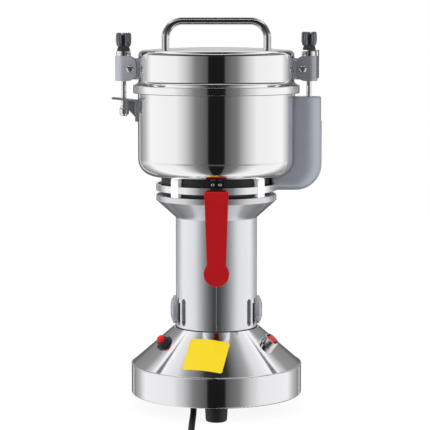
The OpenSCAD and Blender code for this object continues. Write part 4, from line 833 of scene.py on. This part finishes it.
@dataclass
class BareSticker:
    """The yellow film on the base's cone, with nothing printed on it.

    Attributes:
        heading: Turn of its middle from the front, in degrees.
        slant: Distance of its middle down the cone from the top edge.
        width: Width of the film.
        height: Height of the film.
        turn: Turn of the film on the cone, in degrees.
        corner_r: Radius of its corners.
        top: Radius and height of the cone's top edge.
        foot: Radius and height of the cone's foot.
        lift: Gap between cone and film.
        film: Thickness of the film.
        bevel: Height of the film's rounded edge.
        pull: Share of its size that the film keeps above that edge.
    """

    heading: float = -9.2
    slant: float = 33.5
    width: float = 47.5
    height: float = 46.0
    turn: float = 5.2
    corner_r: float = 2.5
    top: Point2 = (50.7, 98.1)
    foot: Point2 = (102.0, 53.3)
    lift: float = 0.08
    film: float = 0.15
    bevel: float = 0.04
    pull: float = 0.995

    def on_cone(self, across: float, down: float, out: float) -> Vector:
        """Lay a flat point on the unrolled cone back on it.

        Args:
            across: Distance to the right of the sticker's middle.
            down: Distance below it.
            out: Height above the cone.

        Returns:
            The point in millimetres.
        """
        run, fall = self.foot[0] - self.top[0], self.top[1] - self.foot[1]
        length = math.hypot(fall, run)
        apex = self.top[0] * length / run
        radius = math.hypot(across, apex + self.slant + down)
        angle = math.atan2(across, apex + self.slant + down) * length / run + math.radians(self.heading)
        r = radius * run / length + out * fall / length
        return Vector((r * math.sin(angle), -r * math.cos(angle),
                       self.top[1] - (radius - apex) * fall / length + out * run / length))

    def build(self) -> None:
        """Cut the film and lay it on."""
        w, h, c = self.width / 2, self.height / 2, self.corner_r
        outline: list[Point2] = []
        for sx, sy, start in ((-1, -1, 180), (1, -1, 270), (1, 1, 0), (-1, 1, 90)):
            for k in range(7):
                a = math.radians(start + 15 * k)
                outline.append((sx * (w - c) + c * math.cos(a), sy * (h - c) + c * math.sin(a)))
        dense: list[Point2] = []
        for (x0, y0), (x1, y1) in zip(outline, outline[1:] + outline[:1]):
            parts = max(1, round(math.hypot(x1 - x0, y1 - y0) / 2))
            dense += [(x0 + (x1 - x0) * k / parts, y0 + (y1 - y0) * k / parts) for k in range(parts)]
        cosine, sine = math.cos(math.radians(self.turn)), math.sin(math.radians(self.turn))
        top = self.lift + self.film
        turned_round = [(x * cosine - y * sine, x * sine + y * cosine) for x, y in dense]
        levels = [(1.0, self.lift), (1.0, top - self.bevel), (self.pull, top)]
        levels += [(share / 16, top) for share in range(15, 0, -1)]
        bm = bmesh.new()
        rings = [[bm.verts.new(self.on_cone(x * share, y * share, out)) for x, y in turned_round]
                 for share, out in levels]
        skin(bm, rings)
        centre = bm.verts.new(self.on_cone(0, 0, top))
        for k in range(len(dense)):
            bm.faces.new((rings[-1][k], rings[-1][(k + 1) % len(dense)], centre))
        film = object_from("bare_sticker", bm, YELLOW_VINYL, 60)
        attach(film, "base")


@dataclass
class LidHandle:
    """The bent round bar on the lid.

    Attributes:
        reach: Distance of each leg from the axis.
        foot_z: Height of the legs' lower ends.
        bar_z: Height of the bar's centre line.
        radius: Radius of the bar.
        bend_r: Radius of the bends on the centre line.
    """

    reach: float = 60.25
    foot_z: float = 419.3
    bar_z: float = 462.1
    radius: float = 4.5
    bend_r: float = 20.0

    def build(self) -> None:
        """Bend the bar."""
        left = [Vector((-self.reach, 0, self.foot_z))]
        for k in range(25):
            a = math.pi - math.pi / 2 * k / 24
            left.append(Vector((-self.reach + self.bend_r + self.bend_r * math.cos(a), 0,
                                self.bar_z - self.bend_r + self.bend_r * math.sin(a))))
        straight = self.reach - self.bend_r
        middle = [Vector((straight * (k / 20 - 1), 0, self.bar_z)) for k in range(1, 40)]
        path = left + middle + [Vector((-p.x, 0, p.z)) for p in reversed(left)]
        bar = object_from("bent_handle", swept(path, self.radius, 48), POLISHED_BAR, 50)
        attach(bar, "lid")
        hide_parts("lid_handle")


@dataclass
class StarKnobs:
    """The clamp knobs: each a tapered neck with five fingers round a short core.

    Attributes:
        x: Distance of a knob's axis from the mill's axis.
        feet: Heights of the left and right knob's foot.
        neck_r: Radius of the neck at its foot.
        foot_h: Height of the neck's straight foot.
        waist_r: Radius of the neck's top.
        neck_h: Height of the neck.
        shoulder_h: Height in which the neck runs in to the core.
        bore_r: Radius of the blind bore that the rod runs in.
        bore_h: Depth of the bore.
        core_r: Radius of the core between the fingers.
        core_h: Height of the core at its rim and at its middle, over the foot.
        height: Height of the whole knob.
        sink: How far the fingers start below the neck's top.
        ring_r: Distance of the fingers' middles from the knob's axis.
        bow: How far the fingers lean in at their lower ends.
        bow_share: Share of that at their upper ends.
        finger: Half widths of a finger along the knob's radius and across it.
        thinnest: Least radius of a finger's end.
    """

    x: float = 109.8
    feet: Point2 = (426.85, 428.05)
    neck_r: float = 7.7
    foot_h: float = 1.8
    waist_r: float = 6.3
    neck_h: float = 5.6
    shoulder_h: float = 2.0
    bore_r: float = 3.3
    bore_h: float = 18.2
    core_r: float = 3.6
    core_h: Point2 = (18.8, 19.2)
    height: float = 21.8
    sink: float = 0.6
    ring_r: float = 6.9
    bow: float = 1.7
    bow_share: float = 0.35
    finger: Point2 = (2.75, 2.15)
    thinnest: float = 0.25

    def neck(self, foot_z: float) -> bmesh.types.BMesh:
        """Turn the bored neck and the core on it."""
        points = ((0, self.bore_h, 0), (self.bore_r, self.bore_h, 0), (self.bore_r, 0, 0),
                  (self.neck_r, 0, 0.5), (self.neck_r, self.foot_h, 0.8), (self.waist_r, self.neck_h, 0.8),
                  (self.core_r, self.neck_h + self.shoulder_h, 0.5), (self.core_r, self.core_h[0], 0.8),
                  (0, self.core_h[1], 0))
        return turned(rounded([(r, foot_z + z, fillet) for r, z, fillet in points], 5), 48)

    def star(self, foot_z: float) -> bmesh.types.BMesh:
        """Sweep the five fingers, bowed, with round ends."""
        start = self.neck_h - self.sink
        span, tip = self.height - start, self.finger[0]

        def girth(u: float) -> float:
            """Give a finger's radius at a share of its height."""
            past = max(0.0, 1 - u * span / tip, 1 - (1 - u) * span / tip)
            return max(self.thinnest, tip * math.sqrt(max(0.0, 1 - past ** 2)))

        fingers, steps = [], 24
        for k in range(5):
            a = math.radians(90) + FULL_TURN * k / 5
            path = []
            for u in (i / steps for i in range(steps + 1)):
                r = self.ring_r - self.bow * abs(2 * u - 1) ** 2 * (1.0 if u < 0.5 else self.bow_share)
                path.append(Vector((r * math.cos(a), r * math.sin(a), foot_z + start + span * u)))
            shape = swept(path, girth, 20)
            squash = (Matrix.Rotation(a, 4, "Z") @ Matrix.Diagonal((1, self.finger[1] / tip, 1, 1))
                      @ Matrix.Rotation(-a, 4, "Z"))
            bmesh.ops.transform(shape, matrix=squash, verts=shape.verts)
            fingers.append(shape)
        return join_meshes(fingers)

    def build(self) -> None:
        """Make both knobs."""
        for side, name, foot_z in ((-1, "left", self.feet[0]), (1, "right", self.feet[1])):
            node = f"clamp_knob_{name}"
            for part, bm, finish in (("neck", self.neck(foot_z), BLACK_ABS),
                                     ("star", self.star(foot_z), KNOB_PHENOLIC)):
                bmesh.ops.translate(bm, vec=(side * self.x, 0, 0), verts=bm.verts)
                piece = object_from(f"{part}_{node}", bm, finish, 40)
                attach(piece, f"knob_{name}")
                if part == "star":
                    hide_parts(node)


@dataclass
class SlotScreens:
    """Curved grey screens behind each pair of cooling slots.

    Attributes:
        radii: Outer and inner radius.
        heights: Heights of the lower and upper edge.
        start: Heading of the edge nearer to the front, in degrees.
        span: Degrees that a screen covers.
    """

    radii: Point2 = (44.2, 43.6)
    heights: Point2 = (100.5, 136.0)
    start: float = 44.0
    span: float = 34.0

    def build(self) -> None:
        """Bend both screens."""
        (outer, inner), (low, high), steps = self.radii, self.heights, 12
        corners = ((outer, low), (outer, high), (inner, high), (inner, low))
        for side, name in ((-1, "left"), (1, "right")):
            bm = bmesh.new()
            turns = [math.radians(self.start + self.span * k / steps) for k in range(steps + 1)]
            columns = [[bm.verts.new((side * r * math.sin(a), -r * math.cos(a), z)) for r, z in corners]
                       for a in turns]
            skin(bm, columns)
            bm.faces.new(columns[0][::-1])
            bm.faces.new(columns[-1])
            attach(object_from(f"slot_screen_{name}", bm, GREY_LAMINATE, 40), "base")


def facing_front(x: float, y: float, z: float) -> Matrix:
    """Give the place of a piece turned upright and laid over, so that its top faces the camera."""
    return Matrix.Translation((x, y, z)) @ Matrix.Rotation(math.radians(90), 4, "X")


def painted_shade_ring(name: str, body: str, radius: float, height: float, half: Point2) -> None:
    """Lay a dark ring of painted shade in a fold.

    Args:
        name: The ring's name.
        body: The body that it rides on.
        radius: Radius of the ring's middle.
        height: Height of the ring's middle.
        half: Half width and half height of its section.
    """
    section = [(radius + half[0] * math.cos(a), height + half[1] * math.sin(a))
               for a in (k * math.pi / 4 for k in range(8))]
    ring = object_from(name, turned(section, 192), FOLD_SHADOW)
    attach(ring, body)


@dataclass
class BracketScrews:
    """Two bright button heads on the lever's bracket.

    Attributes:
        x: Distance of the screws from the middle.
        face_y: Place of the bracket's front.
        z: Height of the screws.
        profile: Radius and height of each point of a head, with its socket.
    """

    x: float = 4.1
    face_y: float = -66.8
    z: float = 273.8
    profile: tuple[Point2, ...] = (
        (0, 0), (2.3, 0), (2.3, 0.8), (1.9, 1.5), (1.1, 1.9), (0.9, 1.2), (0, 1.2))

    def build(self) -> None:
        """Turn both heads and set them on the bracket."""
        for side, name in ((-1, "left"), (1, "right")):
            head = turned(self.profile, 32)
            place = facing_front(side * self.x, self.face_y, self.z)
            bmesh.ops.transform(head, matrix=place, verts=head.verts)
            screw = object_from(f"bracket_screw_{name}", head, NICKEL, 30)
            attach(screw, "head")


@dataclass
class PivotScrews:
    """Pan head screws with a cross recess on the clamps' pivots, and their nuts.

    Attributes:
        x: Distance of the pivots from the axis.
        z: Height of the pivots.
        face_y: Distance of the heads' tops from the middle plane.
        head_r: Radius of a head.
        head_h: Height of a head.
        crown: Share of the squared height that the head loses at its rim.
        crown_power: Power of the radius by which it loses it.
        cross_half: Half width of the cross recess.
        cross_r: Reach of the recess from the middle.
        cross_h: Depth of the recess.
        cross_slopes: Width of its sloped walls at the ends and along the flanks.
        turn: Turn of the recess from upright, in degrees.
        shank_r: Radius of the shank.
        sunk: How far the shank runs up in the head.
        nut_h: Height of a nut's front, from the plane that mirrors the heads' tops.
        nut_short: How far shank and nut end short of that plane.
        chamfer: Chamfer of the nut.
    """

    x: float = 101.9
    z: float = 406.0
    face_y: float = 12.6
    head_r: float = 4.2
    head_h: float = 2.2
    crown: float = 0.86
    crown_power: float = 2.6
    cross_half: float = 0.62
    cross_r: float = 2.7
    cross_h: float = 1.1
    cross_slopes: Point2 = (0.4, 0.12)
    turn: float = 25.0
    shank_r: float = 2.0
    sunk: float = 0.05
    nut_h: float = 2.3
    nut_short: float = 0.2
    chamfer: float = 0.5

    def head(self) -> bmesh.types.BMesh:
        """Turn one screw along the vertical, its head up, with a cross sunk in it."""
        sides, rings = 64, 26
        foot = self.face_y - self.head_h
        end, flank = self.cross_slopes
        bm = bmesh.new()
        grid = []
        for share in (i / rings for i in range(rings + 1)):
            r = self.head_r * share
            row = []
            for k in range(sides):
                a = FULL_TURN * k / sides
                x, y = r * math.cos(a), r * math.sin(a)
                height = self.head_h * math.sqrt(max(0.0, 1 - self.crown * share ** self.crown_power))
                near = min(abs(x), abs(y))
                if near < self.cross_half and r < self.cross_r:
                    slope = min(1.0, (self.cross_r - r) / end, (self.cross_half - near) / flank)
                    height -= self.cross_h * slope
                row.append(bm.verts.new((x, y, foot + height)))
            grid.append(row)
        grid.append([bm.verts.new((v.co.x, v.co.y, foot)) for v in grid[-1]])
        skin(bm, grid)
        return bm

    def build(self) -> None:
        """Make both screws with their nuts."""
        back = -self.face_y + self.nut_short
        under_head = self.face_y - self.head_h + self.sunk
        nut_top = -self.face_y + self.nut_h
        for side, name in ((-1, "left"), (1, "right")):
            bm = self.head()
            place = facing_front(side * self.x, 0, self.z)
            turn = Matrix.Rotation(math.radians(self.turn * side), 4, "Z")
            bmesh.ops.transform(bm, matrix=place @ turn, verts=bm.verts)
            shank = turned([(0, back), (self.shank_r, back), (self.shank_r, under_head), (0, under_head)], 24)
            nut = turned([(self.shank_r, back), (self.head_r - self.chamfer, back),
                          (self.head_r, back + self.chamfer), (self.head_r, nut_top),
                          (self.shank_r, nut_top)], 6)
            for part in (shank, nut):
                bmesh.ops.transform(part, matrix=place, verts=part.verts)
            screw = object_from(f"pivot_screw_{name}", join_meshes([bm, shank, nut]), NICKEL, 40)
            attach(screw, "lid")
            if side > 0:
                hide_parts("pivot_screws")


def join_meshes(parts: Iterable[bmesh.types.BMesh]) -> bmesh.types.BMesh:
    """Put several meshes in one.

    Args:
        parts: The meshes, freed here.

    Returns:
        One mesh with all their faces.
    """
    whole = bmesh.new()
    for part in parts:
        mesh = bpy.data.meshes.new("part")
        part.to_mesh(mesh)
        part.free()
        whole.from_mesh(mesh)
        bpy.data.meshes.remove(mesh)
    return whole


@dataclass
class PowerCord:
    """The lead: its first stretch under the base, the wound coil and the plug.

    Attributes:
        diameter: Diameter of the jacket.
        run: Points of the first stretch, as in the part's source.
        coil_radius: Radius of the coil's outer turn on its centre line.
        coil_gap: Room between turns.
        layer_turns: Turns in each layer.
        climb_turns: Part of a turn in which the cord climbs to the second layer.
        tail_length: Straight length from the coil to the plug.
        plug_z: Height of the plug's middle.
    """

    diameter: float = 7.5
    coil_radius: float = 51.0
    coil_gap: float = 0.6
    layer_turns: float = 1.875
    climb_turns: float = 0.5
    tail_length: float = 42.0
    plug_z: float = 11.0
    run: tuple[Point3, ...] = (
        (-27, 10, 27), (-27, 4, 26.5), (-27, -2, 25), (-27, -8, 22.8), (-27, -14, 20), (-27, -20, 17),
        (-27, -26, 13.8), (-27, -32, 10.7), (-27, -38, 8), (-27, -44, 5.8), (-27, -50, 4.3), (-27, -56, 3.75),
        (-27.1, -66, 3.75), (-27.3, -80, 3.75), (-27.6, -96, 3.75), (-28, -116, 3.75), (-28.2, -136, 3.75),
        (-28.3, -156, 3.75), (-28.2, -176, 3.75), (-28, -196, 3.75), (-28, -216, 3.75), (-28, -236, 3.75),
        (-28, -246, 3.75))

    def coil_point(self, turns: float) -> Vector:
        """Give the coil's centre line after so many turns."""
        total = 2 * self.layer_turns + self.climb_turns
        pitch = self.diameter + self.coil_gap
        share = min(1.0, max(0.0, (turns - self.layer_turns) / self.climb_turns))
        radius = self.coil_radius - pitch * min(turns, total - turns)
        angle = math.pi + FULL_TURN * turns
        start = self.run[-1]
        return Vector((start[0] + self.coil_radius + radius * math.cos(angle),
                       start[1] - self.diameter + radius * math.sin(angle),
                       self.diameter / 2 + pitch * share * share * (3 - 2 * share)))

    def path(self) -> list[Vector]:
        """Give the whole centre line from the strain relief to the plug."""
        total = 2 * self.layer_turns + self.climb_turns
        steps = math.ceil(total * 24)
        coil = [self.coil_point(total * k / steps) for k in range(steps + 1)]
        shares = [k / 6 for k in range(1, 7)]
        tail = [coil[-1] + Vector((self.tail_length * u, 0, (self.plug_z - coil[-1].z) * u * u * (3 - 2 * u)))
                for u in shares]
        return [Vector(p) for p in self.run] + coil + tail

    def build(self) -> None:
        path = self.path()
        cord = object_from("power_cord", swept(path, self.diameter / 2, 20), CORD_PVC)
        # The band would mirror the coil, which lies in front of the picture
        for piece in (cord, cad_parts["cord_plug"]):
            piece.visible_glossy = False
        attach(cord, "base")
        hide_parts("cord_run", "cord_coil")


def dress_nodes() -> None:
    """Give every CAD node its finish."""
    for finish, names in NODE_FINISHES.items():
        for name in names:
            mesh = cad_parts[name].data
            mesh.materials.clear()
            mesh.materials.append(finish_of(finish))
            LOG.info("%s: %s", name, finish.name)


def main() -> None:
    """Build the studio and dress the mill."""
    logging.basicConfig(level=logging.INFO, format="%(name)s: %(message)s")
    scene = bpy.context.scene
    scene.view_settings.view_transform = "Standard"
    Studio().build()
    LidShell().build()
    LidHandle().build()
    StarKnobs().build()
    # Painted shade: a dark ring where the column meets the cone
    painted_shade_ring("column_foot_shade_line", "base", *COLUMN_FOOT, FOOT_LINE)
    BracketScrews().build()
    SlotScreens().build()
    PivotScrews().build()
    BareSticker().build()
    PowerCord().build()
    dress_nodes()


if __name__ == "__main__":
    main()
